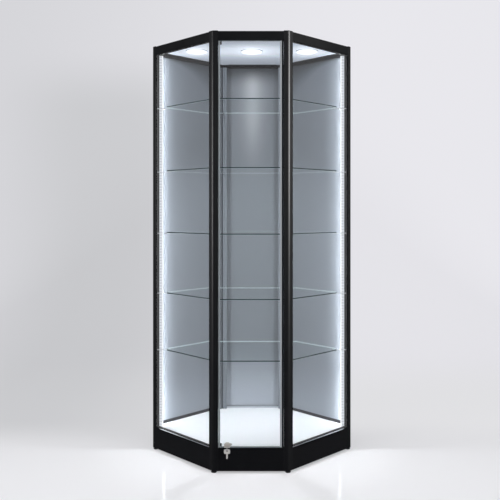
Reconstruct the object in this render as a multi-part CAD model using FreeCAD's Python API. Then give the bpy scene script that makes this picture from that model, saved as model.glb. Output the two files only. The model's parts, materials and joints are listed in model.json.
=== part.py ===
import FreeCAD, Part
import math
import os

# Corner curio cabinet: a hexagonal aluminium frame that stands in a room corner, with a narrow
# glass door in front, two angled glass sides, three rear panels, glass shelves and LED lights.
# Millimetres, +Z up, the door faces -Y. The origin is the centre of the outline on the floor.

Vec = FreeCAD.Vector
UP = Vec(0, 0, 1)
BACKWARD = Vec(0, 1, 0)
SIDEWAYS = Vec(1, 0, 0)
TOUCH = 0.01               # points nearer than this are the same
NUT_SIDES = 6              # nuts, spanner heads and pegs
PAD_SIDES = 12             # pads, bosses and heat sinks

# ---- driving dimensions: outline ----------------------------------------------------------
HEIGHT = 1980.0            # floor to the top of the post caps
DEPTH = 640.0              # front plane to rear plane
DOOR_FACE_HALF = 171.5     # half width of the narrow front face, corner to corner
REAR_LONGER = 3.0          # the rear sides run this much deeper than the front sides

# ---- frame extrusions ---------------------------------------------------------------------
SECTION = 24.0             # depth of every post and rail, measured inwards
POST_LEG = 24.0            # length of a front or outer post along each face
REAR_LEG = 30.0            # length of a rear post along each face
OUTER_ROUND = 8.0          # rounding of the two outer posts and the two rear posts
FRONT_ROUND = 16.0         # rounding of the two front posts
CAP_THICK = 3.0
CAP_ROUND = 1.0
CAP_PLUG = 12.0
CAP_PLUG_FLATS = 5.2       # six-sided peg, pressed in the round screw port
FLOOR_GAP = 9.0            # rails and posts stand this high above the floor
PLINTH_HEIGHT = 103.0      # height of the front bottom rails
TOP_RAIL_HEIGHT = 40.0
RAIL_WALL = 3.0            # wall round a hollow rail chamber
RAIL_HEAD = 17.0           # solid head of a rail above or below its chamber
LIP_REACH = 8.0            # inward ledge that carries the deck or the ceiling
LIP_THICK = 3.0
LIP_END = 12.0             # each lip stops this far short of its rail's ends
ROOF_REBATE = 6.0
SCREW_PORT_IN = 13.0       # screw port centre, inwards from both outer faces
JOINT_GAP = 0.1            # between a rail end and a post
FIT_GAP = 0.3              # round boards, panels and panes

# ---- panes, panels and boards -------------------------------------------------------------
GLASS = 5.0
GLASS_IN = 4.0             # outer face of the glass, inwards from the outer plane
SEAL = 1.0                 # rubber on each side of a pane
GROOVE_DEPTH = 8.0
SEAL_BED = 1.0             # rubber under the edge of a pane
SEAL_SHOW = 2.0            # rubber that shows beyond the groove
PANEL = 4.0
PANEL_IN = 4.0
DECK_THICK = 12.0
DECK_RISE = 2.0            # deck top above the front bottom rails
CEILING_THICK = 4.0
CEILING_RISE = 16.0        # ceiling above the lower edge of the top rails
ROOF_THICK = 4.0
BEAD_DEPTH = 4.5           # skirting between the deck and the rear panels
BEAD_HEIGHT = 14.0
BEAD_STEP = 8.0            # height of its upright front
BEAD_RIM = 1.5             # width of its top

# ---- shelves ------------------------------------------------------------------------------
SHELF_GLASS = 6.0
SHELF_TOPS = [1682.0, 1370.0, 1070.0, 775.0, 497.0]
SHELF_FRONT_IN = 27.0      # shelf edge, inwards from the three front planes
SHELF_SIDE_IN = 55.0       # shelf edge, inwards from the two angled rear planes
SHELF_BACK_IN = 140.0      # straight rear edge, inwards from the rear plane
SHELF_CORNER_CUT = 77.0    # shelf corner cut off, inwards from the outer corner along X
SHELF_ARRIS = 0.6
CHANNEL_WIDTH = 20.0
CHANNEL_DEPTH = 9.0
CHANNEL_WALL = 2.0
CHANNEL_WING = 2.0         # cover over the angled face of the rear post
BRACKET_THICK = 3.0
BRACKET_HEIGHT = 12.0
BRACKET_NOSE = 5.0
BRACKET_REACH = 150.0
BRACKET_FOOT = 11.0        # width of the foot that clamps in the channel
CHANNEL_PLAY = 0.3
PLATE_THICK = 3.0
PLATE_WIDTH = 17.0
PLATE_REACH = 14.0         # support plate under the shelf end
CLIP_WIDTH = 12.0          # shelf clip on the back of a front post
CLIP_HEIGHT = 9.0
CLIP_REACH = 20.0
CLIP_FROM_JAMB = 7.0       # middle of the clip, from the jamb

# ---- lights -------------------------------------------------------------------------------
LED_WIDTH = 9.0            # base and cover; the cover's nose is half round
LED_BASE = 1.0             # base in front of the post's inner corner
LED_COVER_DEPTH = 13.5     # flat sides of the cover
LED_END_GAP = 2.0
LED_PLATE_GAP = 0.5
LAMP_FROM_CORNER = 220.7   # outer lamps, inwards from the outer corners along X
LAMP_AHEAD = 29.5          # all lamps, ahead of the line between the outer corners
LAMP_RING_RADIUS = 55.0
LAMP_LENS_RADIUS = 47.0
LAMP_RING_DROP = 6.0
LAMP_RING_BEVEL = 3.0
LAMP_LENS_THICK = 3.0
LAMP_CAN_FLATS = 84.0      # twelve-sided heat sink through the ceiling
LAMP_CAN_RISE = 12.0
LAMP_HOLE_RADIUS = 44.0
LAMP_FLANGE = 1.5
DRIVER_LENGTH = 160.0
DRIVER_WIDTH = 42.0
DRIVER_HEIGHT = 13.0
DRIVER_FROM_REAR = 170.0
DRIVER_ROUND = 3.0
INLET_RADIUS = 4.0
INLET_WALL = 2.5
INLET_HEAD = 2.5           # height of the grommet's six-sided head
INLET_HEAD_FLATS = 16.0
INLET_FROM_REAR = 80.0

# ---- door ---------------------------------------------------------------------------------
DOOR_GAP = 3.0             # above and below the door
JAMB_GAP = 1.5             # between the door's closing edge and the jamb
STILE_RADIUS = 6.0         # round back of the hinge stile, centred on the hinge axis
STILE_JAMB_GAP = 1.0
STILE_ARM = 10.5
STILE_HALF = 4.5
STILE_BITE = 7.0           # glass held in the stile
HINGE_PIN_RADIUS = 3.0
HINGE_PIN_LENGTH = 9.0
HINGE_PLAY = 0.05
BUSH_RADIUS = 5.0
BUSH_DEPTH = 11.0
REST_GAP = 0.3             # between the stile and the bush that carries it
EDGE_SEAL_WIDTH = 8.0
EDGE_SEAL_WALL = 1.5
EDGE_SEAL_ROUND = 1.35
STOP_WIDTH = 16.0
STOP_DEPTH = 9.0
STOP_HEIGHT = 17.0

# ---- lock and keys ------------------------------------------------------------------------
LOCK_FROM_JAMB = 42.0      # lock axis, from the face of the left jamb
LOCK_LIFT = 12.0           # lock axis above the front bottom rail
LOCK_WIDTH = 29.0
LOCK_HEIGHT = 21.0
LOCK_PLATE = 8.0
LOCK_PLATE_CUT = 5.0       # corners of the eight-sided plate
LOCK_COLLAR_RADIUS = 9.5
LOCK_COLLAR = 2.5
LOCK_BOSS_FLATS = 17.5     # twelve-sided boss through the glass
LOCK_HOLE_GAP = 0.5
LOCK_NUT_FLATS = 22.0
LOCK_NUT = 3.0
BARREL_RADIUS = 7.0
BARREL_PLAY = 0.05
BARREL_PROUD = 1.0
CAM_THICK = 2.5
CAM_WIDTH = 10.0
CAM_LENGTH = 20.0
CAM_GAP = 1.0              # behind the nut
STRIKE_CLEAR = 1.5
KEY_THICK = 2.0
KEY_BLADE = 7.0
KEY_SHANK = 4.0            # blade that shows between the lock and the bow
KEY_DEPTH = 13.0
KEYWAY_PLAY = 0.1
BOW_WIDTH = 27.0
BOW_LENGTH = 20.0
BOW_ROUND = 6.0
BOW_HOLE = 3.5
BOW_RIM = 3.5
KEY_POINT = 1.75           # slope at the tip of the blade, and the width of a notch
KEY_NOTCHES = 3
KEY_NOTCH_DEPTH = 0.6
SPARE_BLADE_LENGTH = 22.0
RING_RADIUS = 8.0
RING_WIRE = 0.8
RING_GAP = 0.7             # play where the ring hangs and where the spare key hangs

# ---- levelling feet -----------------------------------------------------------------------
FOOT_FLATS = 25.0          # twelve-sided pad
FOOT_PAD = 4.5
FOOT_EASE = 1.5            # slope at the foot of the pad
FOOT_HEX_FLATS = 15.0      # for a spanner
FOOT_NECK_GAP = 0.5        # between the foot's neck and the post end
FOOT_STEM_FLATS = 5.8      # twelve-sided, with its corners close to the port's wall
FOOT_PORT_RADIUS = 3.05
FOOT_STEM = 34.0

# ---- heights and places that follow -------------------------------------------------------
POST_TOP = HEIGHT - CAP_THICK
PLINTH_TOP = FLOOR_GAP + PLINTH_HEIGHT
DECK_TOP = PLINTH_TOP + DECK_RISE
DECK_UNDER = DECK_TOP - DECK_THICK
HEAD_UNDER = POST_TOP - TOP_RAIL_HEIGHT
CEILING_UNDER = HEAD_UNDER + CEILING_RISE
CEILING_TOP = CEILING_UNDER + CEILING_THICK
ROOF_UNDER = POST_TOP - ROOF_THICK

BOW_START = LOCK_PLATE + BARREL_PROUD + KEY_SHANK - GLASS_IN
BOW_FRONT = BOW_START + BOW_LENGTH
RING_FROM_PLANE = BOW_FRONT - BOW_RIM / 2
KEY_OVERHANG = RING_FROM_PLANE + RING_RADIUS + RING_WIRE
FRONT_Y = -(DEPTH - KEY_OVERHANG) / 2

# All four sides stand at 45 degrees, so each runs as far across as it runs back.
OUTER_FROM_FRONT = (DEPTH - REAR_LONGER) / 2
HALF_WIDTH = DOOR_FACE_HALF + OUTER_FROM_FRONT
REAR_HALF = HALF_WIDTH - (DEPTH - OUTER_FROM_FRONT)
JAMB = DOOR_FACE_HALF - POST_LEG


def place(x, from_front, z=0.0):
    """A point from its distance to the front plane."""
    return Vec(x, FRONT_Y + from_front, z)


CORNERS = {
    "front_left": place(-DOOR_FACE_HALF, 0),
    "front_right": place(DOOR_FACE_HALF, 0),
    "outer_right": place(HALF_WIDTH, OUTER_FROM_FRONT),
    "rear_right": place(REAR_HALF, DEPTH),
    "rear_left": place(-REAR_HALF, DEPTH),
    "outer_left": place(-HALF_WIDTH, OUTER_FROM_FRONT),
}
CORNER_ORDER = list(CORNERS)
FACES = ["front", "front_right", "rear_right", "rear", "rear_left", "front_left"]
GLAZED = ("front_left", "front_right")
PANELLED = ("rear_left", "rear_right", "rear")


class Face:
    """One upright side of the outline, with its direction and inward normal."""

    def __init__(self, index):
        self.name = FACES[index]
        self.start = CORNERS[CORNER_ORDER[index]]
        self.end = CORNERS[CORNER_ORDER[(index + 1) % len(CORNER_ORDER)]]
        run = self.end - self.start
        self.length = run.Length
        self.along = run.normalize()
        self.inward = UP.cross(self.along)

    def point(self, along, inward, z=0.0):
        """A point at a distance along the face and inwards from it."""
        return self.start + self.along * along + self.inward * inward + UP * z

    def bar(self, section, start, end):
        """A bar along the face, from a section drawn as (inward, height) points."""
        outline = [self.point(start, inward, z) for inward, z in section]
        return prism(outline, self.along * (end - start))

    def slab(self, start, end, inward, thick, low, high):
        """A flat upright piece in the plane of the face."""
        section = box_section(inward, inward + thick, low, high)
        return self.bar(section, start, end)


SIDES = {name: Face(index) for index, name in enumerate(FACES)}


def faces_at(corner):
    """The face that ends at a corner and the face that starts there."""
    index = CORNER_ORDER.index(corner)
    return SIDES[FACES[index - 1]], SIDES[FACES[index]]


def face_of(outline):
    return Part.Face(Part.makePolygon(outline + [outline[0]]))


def prism(outline, run):
    """Extrude a closed outline."""
    return face_of(outline).extrude(run)


def box_section(in_0, in_1, low, high):
    return [(in_0, low), (in_1, low), (in_1, high), (in_0, high)]


def disc(radius, centre, axis, length):
    return Part.makeCylinder(radius, length, centre, axis)


def even_prism(sides, flats, centre, axis, across, length):
    """A regular prism from its width across flats, with one corner pointing across."""
    radius = flats / 2 / math.cos(math.pi / sides)
    beside = axis.cross(across)
    corners = []
    for step in range(sides):
        angle = 2 * math.pi * step / sides
        corners.append(centre + across * radius * math.cos(angle) + beside * radius * math.sin(angle))
    return prism(corners, axis * length)


def revolved(profile, centre, axis, across):
    """Turn a profile of (radius, distance along the axis) points about an axis."""
    points = [centre + across * radius + axis * rise for radius, rise in profile]
    return face_of(points).revolve(centre, axis, 360)


def meet(face_a, in_a, face_b, in_b):
    """Where two faces meet in plan, once each is moved inwards."""
    point_a = face_a.point(0, in_a)
    point_b = face_b.point(0, in_b)
    cross = face_a.along.x * face_b.along.y - face_a.along.y * face_b.along.x
    gap = point_b - point_a
    step = (gap.x * face_b.along.y - gap.y * face_b.along.x) / cross
    return point_a + face_a.along * step


def inset_outline(insets):
    """The outline moved inwards by its own distance on each face."""
    corners = []
    for corner in CORNER_ORDER:
        before, after = faces_at(corner)
        corners.append(meet(before, insets[before.name], after, insets[after.name]))
    return corners


def at_height(outline, z):
    return [Vec(point.x, point.y, z) for point in outline]


def distinct(points):
    """Drop points that fall on the one before."""
    kept = []
    for point in points:
        if not kept or (point - kept[-1]).Length > TOUCH:
            kept.append(point)
    return kept


def upright_edges(solid, centre, reach):
    """Edges along Z whose ends lie within reach of a point in plan."""
    found = []
    for edge in solid.Edges:
        ends = [vertex.Point for vertex in edge.Vertexes]
        if len(ends) == 2 and abs(ends[0].z - ends[1].z) > TOUCH:
            if all(math.hypot(p.x - centre.x, p.y - centre.y) < reach for p in ends):
                found.append(edge)
    return found


def save(node, shape):
    """Write one node, a solid or a group of solids."""
    if isinstance(shape, list):
        shape = Part.makeCompound(shape)
    shape.exportStep("parts/%s.step" % node)


# ---- frame --------------------------------------------------------------------------------
LEGS = {corner: REAR_LEG if corner.startswith("rear") else POST_LEG for corner in CORNERS}
ROUNDS = {corner: FRONT_ROUND if corner.startswith("front") else OUTER_ROUND for corner in CORNERS}
GLASS_GROOVE = (GLASS_IN - SEAL, GLASS_IN + GLASS + SEAL)
PANEL_GROOVE = (PANEL_IN - FIT_GAP, PANEL_IN + PANEL + FIT_GAP)


def groove_of(face):
    """The groove that a face's posts and rails have, or None beside the door."""
    if face.name in GLAZED:
        return GLASS_GROOVE
    if face.name in PANELLED:
        return PANEL_GROOVE
    return None


def leg_outline(face, end, sign, leg):
    """A post's outline along one face, from the outer plane to the inner one."""
    groove = groove_of(face)
    tip = end + sign * leg
    outline = [face.point(tip, 0)]
    if groove:
        bottom = tip - sign * GROOVE_DEPTH
        outline += [face.point(tip, groove[0]), face.point(bottom, groove[0])]
        outline += [face.point(bottom, groove[1]), face.point(tip, groove[1])]
    return outline + [face.point(tip, SECTION)]


def post_block(corner, grow=0.0, beyond=0.0):
    """A post's plain outline, grown inwards, and outwards past the corner."""
    before, after = faces_at(corner)
    leg = LEGS[corner] + grow
    inner = SECTION + grow
    return distinct([
        meet(before, -beyond, after, -beyond),
        after.point(leg, -beyond),
        after.point(leg, inner),
        meet(before, inner, after, inner),
        before.point(before.length - leg, inner),
        before.point(before.length - leg, -beyond),
    ])


def port_of(corner):
    """Centre of the screw port that runs through a post."""
    before, after = faces_at(corner)
    return meet(before, SCREW_PORT_IN, after, SCREW_PORT_IN)


def rounded_corner(solid, corner):
    edges = upright_edges(solid, CORNERS[corner], TOUCH)
    return solid.makeFillet(ROUNDS[corner], edges)


def make_post(corner):
    """An extrusion with a rounded outer corner, pane grooves and a screw port."""
    before, after = faces_at(corner)
    outline = [CORNERS[corner]]
    outline += leg_outline(after, 0.0, 1, LEGS[corner])
    outline += [meet(before, SECTION, after, SECTION)]
    outline += reversed(leg_outline(before, before.length, -1, LEGS[corner]))
    outline = at_height(distinct(outline), FLOOR_GAP)
    post = rounded_corner(prism(outline, UP * (POST_TOP - FLOOR_GAP)), corner)
    port = at_height([port_of(corner)], FLOOR_GAP)[0]
    return post.cut(disc(FOOT_PORT_RADIUS, port, UP, POST_TOP - FLOOR_GAP))


def make_post_cap(corner):
    """A cap with an eased top edge and a plug in the screw port."""
    outline = at_height(post_block(corner), POST_TOP)
    cap = rounded_corner(prism(outline, UP * CAP_THICK), corner)
    top = [e for e in cap.Edges if all(abs(v.Z - HEIGHT) < TOUCH for v in e.Vertexes)]
    cap = cap.makeChamfer(CAP_ROUND, top)
    plug_start = at_height([port_of(corner)], POST_TOP - CAP_PLUG)[0]
    plug = even_prism(NUT_SIDES, CAP_PLUG_FLATS, plug_start, UP, SIDEWAYS, CAP_PLUG)
    return cap.fuse(plug).removeSplitter()


def rail_span(face):
    """Start and end of a rail between the two posts of its face."""
    index = FACES.index(face.name)
    start = LEGS[CORNER_ORDER[index]] + JOINT_GAP
    end = LEGS[CORNER_ORDER[(index + 1) % len(CORNER_ORDER)]] + JOINT_GAP
    return start, face.length - end


def hollow_bar(face, section, low, high):
    """A rail with its chamber, open at both mitre-free ends."""
    start, end = rail_span(face)
    chamber = box_section(RAIL_WALL, SECTION - RAIL_WALL, low, high)
    return face.bar(section, start, end).cut(face.bar(chamber, start, end))


def make_lip(face, top):
    """The inward ledge of a rail."""
    start, end = rail_span(face)
    section = box_section(SECTION, SECTION + LIP_REACH, top - LIP_THICK, top)
    return face.bar(section, start + LIP_END, end - LIP_END)


def make_top_rail(face):
    """A top rail with a rebate for the roof and a lip that carries the ceiling."""
    groove = groove_of(face)
    section = [(0, HEAD_UNDER)]
    if groove:
        bottom = HEAD_UNDER + GROOVE_DEPTH
        section += [(groove[0], HEAD_UNDER), (groove[0], bottom)]
        section += [(groove[1], bottom), (groove[1], HEAD_UNDER)]
    section += [
        (SECTION, HEAD_UNDER),
        (SECTION, ROOF_UNDER),
        (SECTION - ROOF_REBATE, ROOF_UNDER),
        (SECTION - ROOF_REBATE, POST_TOP),
        (0, POST_TOP),
    ]
    rail = hollow_bar(face, section, HEAD_UNDER + RAIL_HEAD, ROOF_UNDER - RAIL_WALL)
    return rail.fuse(make_lip(face, CEILING_UNDER)).removeSplitter()


def make_bottom_rail(face):
    """A plinth rail: the front three have a lip under the deck, the rear three carry it."""
    groove = groove_of(face)
    panelled = face.name in PANELLED
    top = DECK_UNDER if panelled else PLINTH_TOP
    section = [(0, FLOOR_GAP), (SECTION, FLOOR_GAP), (SECTION, top)]
    if groove:
        bottom = top - GROOVE_DEPTH
        section += [(groove[1], top), (groove[1], bottom)]
        section += [(groove[0], bottom), (groove[0], top)]
    section += [(0, top)]
    rail = hollow_bar(face, section, FLOOR_GAP + RAIL_WALL, top - RAIL_HEAD)
    if panelled:
        return rail
    return rail.fuse(make_lip(face, DECK_UNDER)).removeSplitter()


def cut_posts(board, low, thick):
    """Notch a board round the posts."""
    for corner in CORNERS:
        block = at_height(post_block(corner, FIT_GAP, SECTION), low)
        board = board.cut(prism(block, UP * thick))
    return board


def make_deck():
    """The white floor board: inside the front rails, and over the rear rails to the panels."""
    front = SECTION + FIT_GAP
    rear = PANEL_GROOVE[1]
    insets = {name: rear if name in PANELLED else front for name in FACES}
    outline = at_height(inset_outline(insets), DECK_UNDER)
    return cut_posts(prism(outline, UP * DECK_THICK), DECK_UNDER, DECK_THICK)


def lamp_centres(z):
    spacing = HALF_WIDTH - LAMP_FROM_CORNER
    from_front = OUTER_FROM_FRONT - LAMP_AHEAD
    return [place(step * spacing, from_front, z) for step in (-1, 0, 1)]


def make_ceiling():
    """The ceiling board, with a hole for each lamp."""
    insets = {name: SECTION + FIT_GAP for name in FACES}
    board = prism(at_height(inset_outline(insets), CEILING_UNDER), UP * CEILING_THICK)
    for centre in lamp_centres(CEILING_UNDER):
        board = board.cut(disc(LAMP_HOLE_RADIUS, centre, UP, CEILING_THICK))
    return board


def make_roof():
    """The roof sheet in its rebate, with the hole for the cable inlet."""
    insets = {name: SECTION - ROOF_REBATE + FIT_GAP for name in FACES}
    sheet = prism(at_height(inset_outline(insets), ROOF_UNDER), UP * ROOF_THICK)
    sheet = cut_posts(sheet, ROOF_UNDER, ROOF_THICK)
    centre = place(0, DEPTH - INLET_FROM_REAR, ROOF_UNDER)
    return sheet.cut(disc(INLET_RADIUS + INLET_WALL, centre, UP, ROOF_THICK))


# ---- panes and panels ---------------------------------------------------------------------
def opening_of(face):
    """The clear opening between posts and rails: start, end, low, high."""
    start, end = rail_span(face)
    low = DECK_UNDER if face.name in PANELLED else PLINTH_TOP
    return start - JOINT_GAP, end + JOINT_GAP, low, HEAD_UNDER


def sheet_in(face, inward, thick, grow):
    """A flat sheet that reaches past the opening of its face on all four sides."""
    start, end, low, high = opening_of(face)
    return face.slab(start - grow, end + grow, inward, thick, low - grow, high + grow)


def make_pane(face):
    return sheet_in(face, GLASS_IN, GLASS, GROOVE_DEPTH - SEAL_BED)


def make_panel(face):
    return sheet_in(face, PANEL_IN, PANEL, GROOVE_DEPTH - SEAL_BED)


def make_gasket(face):
    """A rubber channel that holds the pane all the way round."""
    inner, outer = GLASS_GROOVE
    body = sheet_in(face, inner, outer - inner, GROOVE_DEPTH)
    sight = sheet_in(face, inner, outer - inner, -SEAL_SHOW)
    return body.cut(sight).cut(make_pane(face))


def make_bead(face):
    """A skirting that closes the joint between the deck and a rear panel."""
    start, end = rail_span(face)
    start += FIT_GAP
    end -= FIT_GAP
    back = PANEL_GROOVE[1]
    section = [
        (back, DECK_TOP),
        (back + BEAD_DEPTH, DECK_TOP),
        (back + BEAD_DEPTH, DECK_TOP + BEAD_STEP),
        (back + BEAD_RIM, DECK_TOP + BEAD_HEIGHT),
        (back, DECK_TOP + BEAD_HEIGHT),
    ]
    return face.bar(section, start, end)


# ---- shelves and their supports -----------------------------------------------------------
def make_shelf(top):
    """A six-sided pane with its outer corners cut off and its long edges eased."""
    insets = {name: SHELF_SIDE_IN if name in PANELLED else SHELF_FRONT_IN for name in FACES}
    insets["rear"] = SHELF_BACK_IN
    outline = at_height(inset_outline(insets), top - SHELF_GLASS)
    shelf = prism(outline, UP * SHELF_GLASS)
    reach = HALF_WIDTH - SHELF_CORNER_CUT
    keep = Part.makeBox(2 * reach, DEPTH, SHELF_GLASS, place(-reach, 0, top - SHELF_GLASS))
    shelf = shelf.common(keep)
    flat = [e for e in shelf.Edges if abs(e.Vertexes[0].Z - e.Vertexes[1].Z) < TOUCH]
    return shelf.makeChamfer(SHELF_ARRIS, flat)


def rear_post_facet(corner):
    """Middle of the post face that looks forward, beside the rear panel."""
    before, after = faces_at(corner)
    rear = SIDES["rear"]
    bend = meet(before, SECTION, after, SECTION)
    tip = REAR_LEG if rear is after else rear.length - REAR_LEG
    return (bend + rear.point(tip, SECTION)) * 0.5


def make_channel(corner):
    """A cover on the rear post's inner faces, with an upright slot that brackets clamp in."""
    middle = rear_post_facet(corner)
    half = CHANNEL_WIDTH / 2
    back = SECTION
    nose = SECTION + CHANNEL_DEPTH
    rear = SIDES["rear"]
    along = (middle - rear.start).dot(rear.along)
    wall = CHANNEL_WALL

    def block(half_span, in_0, in_1):
        return rear.slab(along - half_span, along + half_span, in_0, in_1 - in_0, DECK_TOP, HEAD_UNDER)

    body = block(half, back, nose).cut(block(half - wall, back + wall, nose - wall))
    body = body.cut(block(BRACKET_THICK / 2 + CHANNEL_PLAY, back + wall, nose))
    return body.fuse(make_channel_wing(corner)).removeSplitter()


def make_channel_wing(corner):
    """The part of the cover that lies on the post's angled face."""
    before, after = faces_at(corner)
    bend = meet(before, SECTION, after, SECTION)
    side = before if after.name == "rear" else after
    bend_along = (bend - side.start).dot(side.along)
    tip_along = side.length - REAR_LEG if side is before else REAR_LEG
    low, high = sorted((bend_along, tip_along))
    return side.slab(low, high, SECTION, CHANNEL_WING, DECK_TOP, HEAD_UNDER)


def make_bracket(corner, top):
    """A tapered arm under the shelf, with a neck and foot that clamp in the channel."""
    middle = rear_post_facet(corner)
    rear = SIDES["rear"]
    along = (middle - rear.start).dot(rear.along)
    under = top - SHELF_GLASS
    front = SECTION + CHANNEL_DEPTH
    tip = front + BRACKET_REACH
    arm = rear.bar([
        (front, under - BRACKET_HEIGHT),
        (tip - BRACKET_NOSE, under - BRACKET_NOSE),
        (tip, under - BRACKET_NOSE / 2),
        (tip, under),
        (front, under),
    ], along - BRACKET_THICK / 2, along + BRACKET_THICK / 2)
    half = BRACKET_FOOT / 2
    foot_in = SECTION + CHANNEL_WALL + CHANNEL_PLAY
    foot_out = front - CHANNEL_WALL - CHANNEL_PLAY
    low = under - BRACKET_HEIGHT
    foot = rear.slab(along - half, along + half, foot_in, foot_out - foot_in, low, under)
    neck = rear.slab(
        along - BRACKET_THICK / 2, along + BRACKET_THICK / 2, foot_out, front - foot_out, low, under
    )
    return arm.fuse([foot, neck]).removeSplitter()


def corner_point(side, inward, across, z):
    """A point on the centre line of an outer corner: inwards from it, and across it."""
    return place(side * (HALF_WIDTH - inward), OUTER_FROM_FRONT + across, z)


POST_VERTEX = SECTION * math.sqrt(2)


def led_base_outline(side, grow, reach, z):
    """The LED base in plan: its V-shaped back sits over the post's inner corner."""
    half = LED_WIDTH / 2 + grow
    front = POST_VERTEX + reach + grow
    back = POST_VERTEX - half
    plan = [(POST_VERTEX, 0), (back, half), (front, half), (front, -half), (back, -half)]
    return [corner_point(side, inward, across, z) for inward, across in plan]


def led_span():
    return DECK_TOP + LED_END_GAP, HEAD_UNDER - LED_END_GAP


def make_led_housing(side):
    """The black base that the LED tape and its cover clip on."""
    low, high = led_span()
    return prism(led_base_outline(side, 0.0, LED_BASE, low), UP * (high - low))


def make_led_diffuser(side):
    """A frosted cover with flat sides and a half-round nose."""
    low, high = led_span()
    half = LED_WIDTH / 2
    base = POST_VERTEX + LED_BASE
    shoulder = base + LED_COVER_DEPTH

    def point(inward, across):
        return corner_point(side, inward, across, low)

    wire = Part.Wire([
        Part.makeLine(point(base, -half), point(base, half)),
        Part.makeLine(point(base, half), point(shoulder, half)),
        Part.Arc(point(shoulder, half), point(shoulder + half, 0), point(shoulder, -half)).toShape(),
        Part.makeLine(point(shoulder, -half), point(base, -half)),
    ])
    return Part.Face(wire).extrude(UP * (high - low))


def make_support_plate(side, top):
    """A plate under the shelf end, forked round the LED cover and seated on the post."""
    half = PLATE_WIDTH / 2
    end = SHELF_CORNER_CUT + PLATE_REACH
    back = POST_VERTEX - half
    low = top - SHELF_GLASS - PLATE_THICK
    plan = [(POST_VERTEX, 0), (back, half), (end, half), (end, -half), (back, -half)]
    plate = prism([corner_point(side, a, b, low) for a, b in plan], UP * PLATE_THICK)
    reach = LED_BASE + LED_COVER_DEPTH + LED_WIDTH / 2
    fork = led_base_outline(side, LED_PLATE_GAP, reach, low)
    return plate.cut(prism(fork, UP * PLATE_THICK))


def make_shelf_clip(side, top):
    """A tapered clip on the back of a front post, under the front corner of the shelf."""
    middle = side * (JAMB + CLIP_FROM_JAMB)
    under = top - SHELF_GLASS
    outline = [
        place(middle - CLIP_WIDTH / 2, SECTION, under),
        place(middle - CLIP_WIDTH / 2, SECTION + CLIP_REACH, under),
        place(middle - CLIP_WIDTH / 2, SECTION + CLIP_REACH, under - CLIP_HEIGHT / 2),
        place(middle - CLIP_WIDTH / 2, SECTION, under - CLIP_HEIGHT),
    ]
    return prism(outline, SIDEWAYS * CLIP_WIDTH)


# ---- lights -------------------------------------------------------------------------------
def make_lamp_ring(centre):
    """The bevelled trim ring that stands below the ceiling and holds the lens."""
    profile = [
        (LAMP_LENS_RADIUS, -LAMP_RING_DROP),
        (LAMP_RING_RADIUS - LAMP_RING_BEVEL, -LAMP_RING_DROP),
        (LAMP_RING_RADIUS, 0),
        (LAMP_LENS_RADIUS, 0),
    ]
    return revolved(profile, centre, UP, SIDEWAYS)


def make_lamp_lens(centre):
    low = centre - UP * (LAMP_FLANGE + LAMP_LENS_THICK)
    return disc(LAMP_LENS_RADIUS - FIT_GAP, low, UP, LAMP_LENS_THICK)


def make_lamp_can(centre):
    """The lamp's twelve-sided heat sink, from the back of the lens up through the ceiling."""
    base = centre - UP * LAMP_FLANGE
    return even_prism(PAD_SIDES, LAMP_CAN_FLATS, base, UP, SIDEWAYS, LAMP_CAN_RISE + LAMP_FLANGE)


def make_driver():
    """The LED driver on top of the ceiling."""
    front = DEPTH - DRIVER_FROM_REAR - DRIVER_WIDTH / 2
    corner = place(-DRIVER_LENGTH / 2, front, CEILING_TOP)
    box = Part.makeBox(DRIVER_LENGTH, DRIVER_WIDTH, DRIVER_HEIGHT, corner)
    edges = [e for e in box.Edges if abs(e.Vertexes[0].Z - e.Vertexes[1].Z) > TOUCH]
    return box.makeFillet(DRIVER_ROUND, edges)


def make_inlet():
    """The cable gland in the roof: a round neck under a six-sided head."""
    base = place(0, DEPTH - INLET_FROM_REAR, ROOF_UNDER)
    neck = disc(INLET_RADIUS + INLET_WALL, base, UP, ROOF_THICK)
    head = even_prism(NUT_SIDES, INLET_HEAD_FLATS, base + UP * ROOF_THICK, UP, SIDEWAYS, INLET_HEAD)
    gland = neck.fuse(head).removeSplitter()
    return gland.cut(disc(INLET_RADIUS, base, UP, ROOF_THICK + INLET_HEAD))


# ---- door ---------------------------------------------------------------------------------
DOOR_LOW = PLINTH_TOP + DOOR_GAP
DOOR_HIGH = HEAD_UNDER - DOOR_GAP
GLASS_MID = GLASS_IN + GLASS / 2
GLASS_BACK = GLASS_IN + GLASS
HINGE_X = JAMB - STILE_JAMB_GAP - STILE_RADIUS
SEAL_OUT = JAMB - JAMB_GAP
GLASS_LEFT = -(SEAL_OUT - EDGE_SEAL_WALL)
GLASS_RIGHT = HINGE_X - STILE_ARM + STILE_BITE
LOCK_X = LOCK_FROM_JAMB - JAMB
LOCK_Z = PLINTH_TOP + LOCK_LIFT
LOCK_FRONT = GLASS_IN - LOCK_PLATE
CAM_FRONT = GLASS_BACK + LOCK_NUT + CAM_GAP


def upright(x_0, x_1, front, back, low, high):
    """An upright box between two distances from the front plane."""
    return Part.makeBox(x_1 - x_0, back - front, high - low, place(x_0, front, low))


def lock_disc(radius, front, back):
    """A disc on the lock's axis."""
    return disc(radius, place(LOCK_X, front, LOCK_Z), BACKWARD, back - front)


def make_door_glass():
    """The glass door, notched at its lower edge for the lock."""
    pane = upright(GLASS_LEFT, GLASS_RIGHT, GLASS_IN, GLASS_BACK, DOOR_LOW, DOOR_HIGH)
    hole = LOCK_BOSS_FLATS / 2 / math.cos(math.pi / PAD_SIDES) + LOCK_HOLE_GAP
    notch = lock_disc(hole, GLASS_IN, GLASS_BACK)
    slot = upright(LOCK_X - hole, LOCK_X + hole, GLASS_IN, GLASS_BACK, DOOR_LOW, LOCK_Z)
    return pane.cut(notch).cut(slot)


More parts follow.
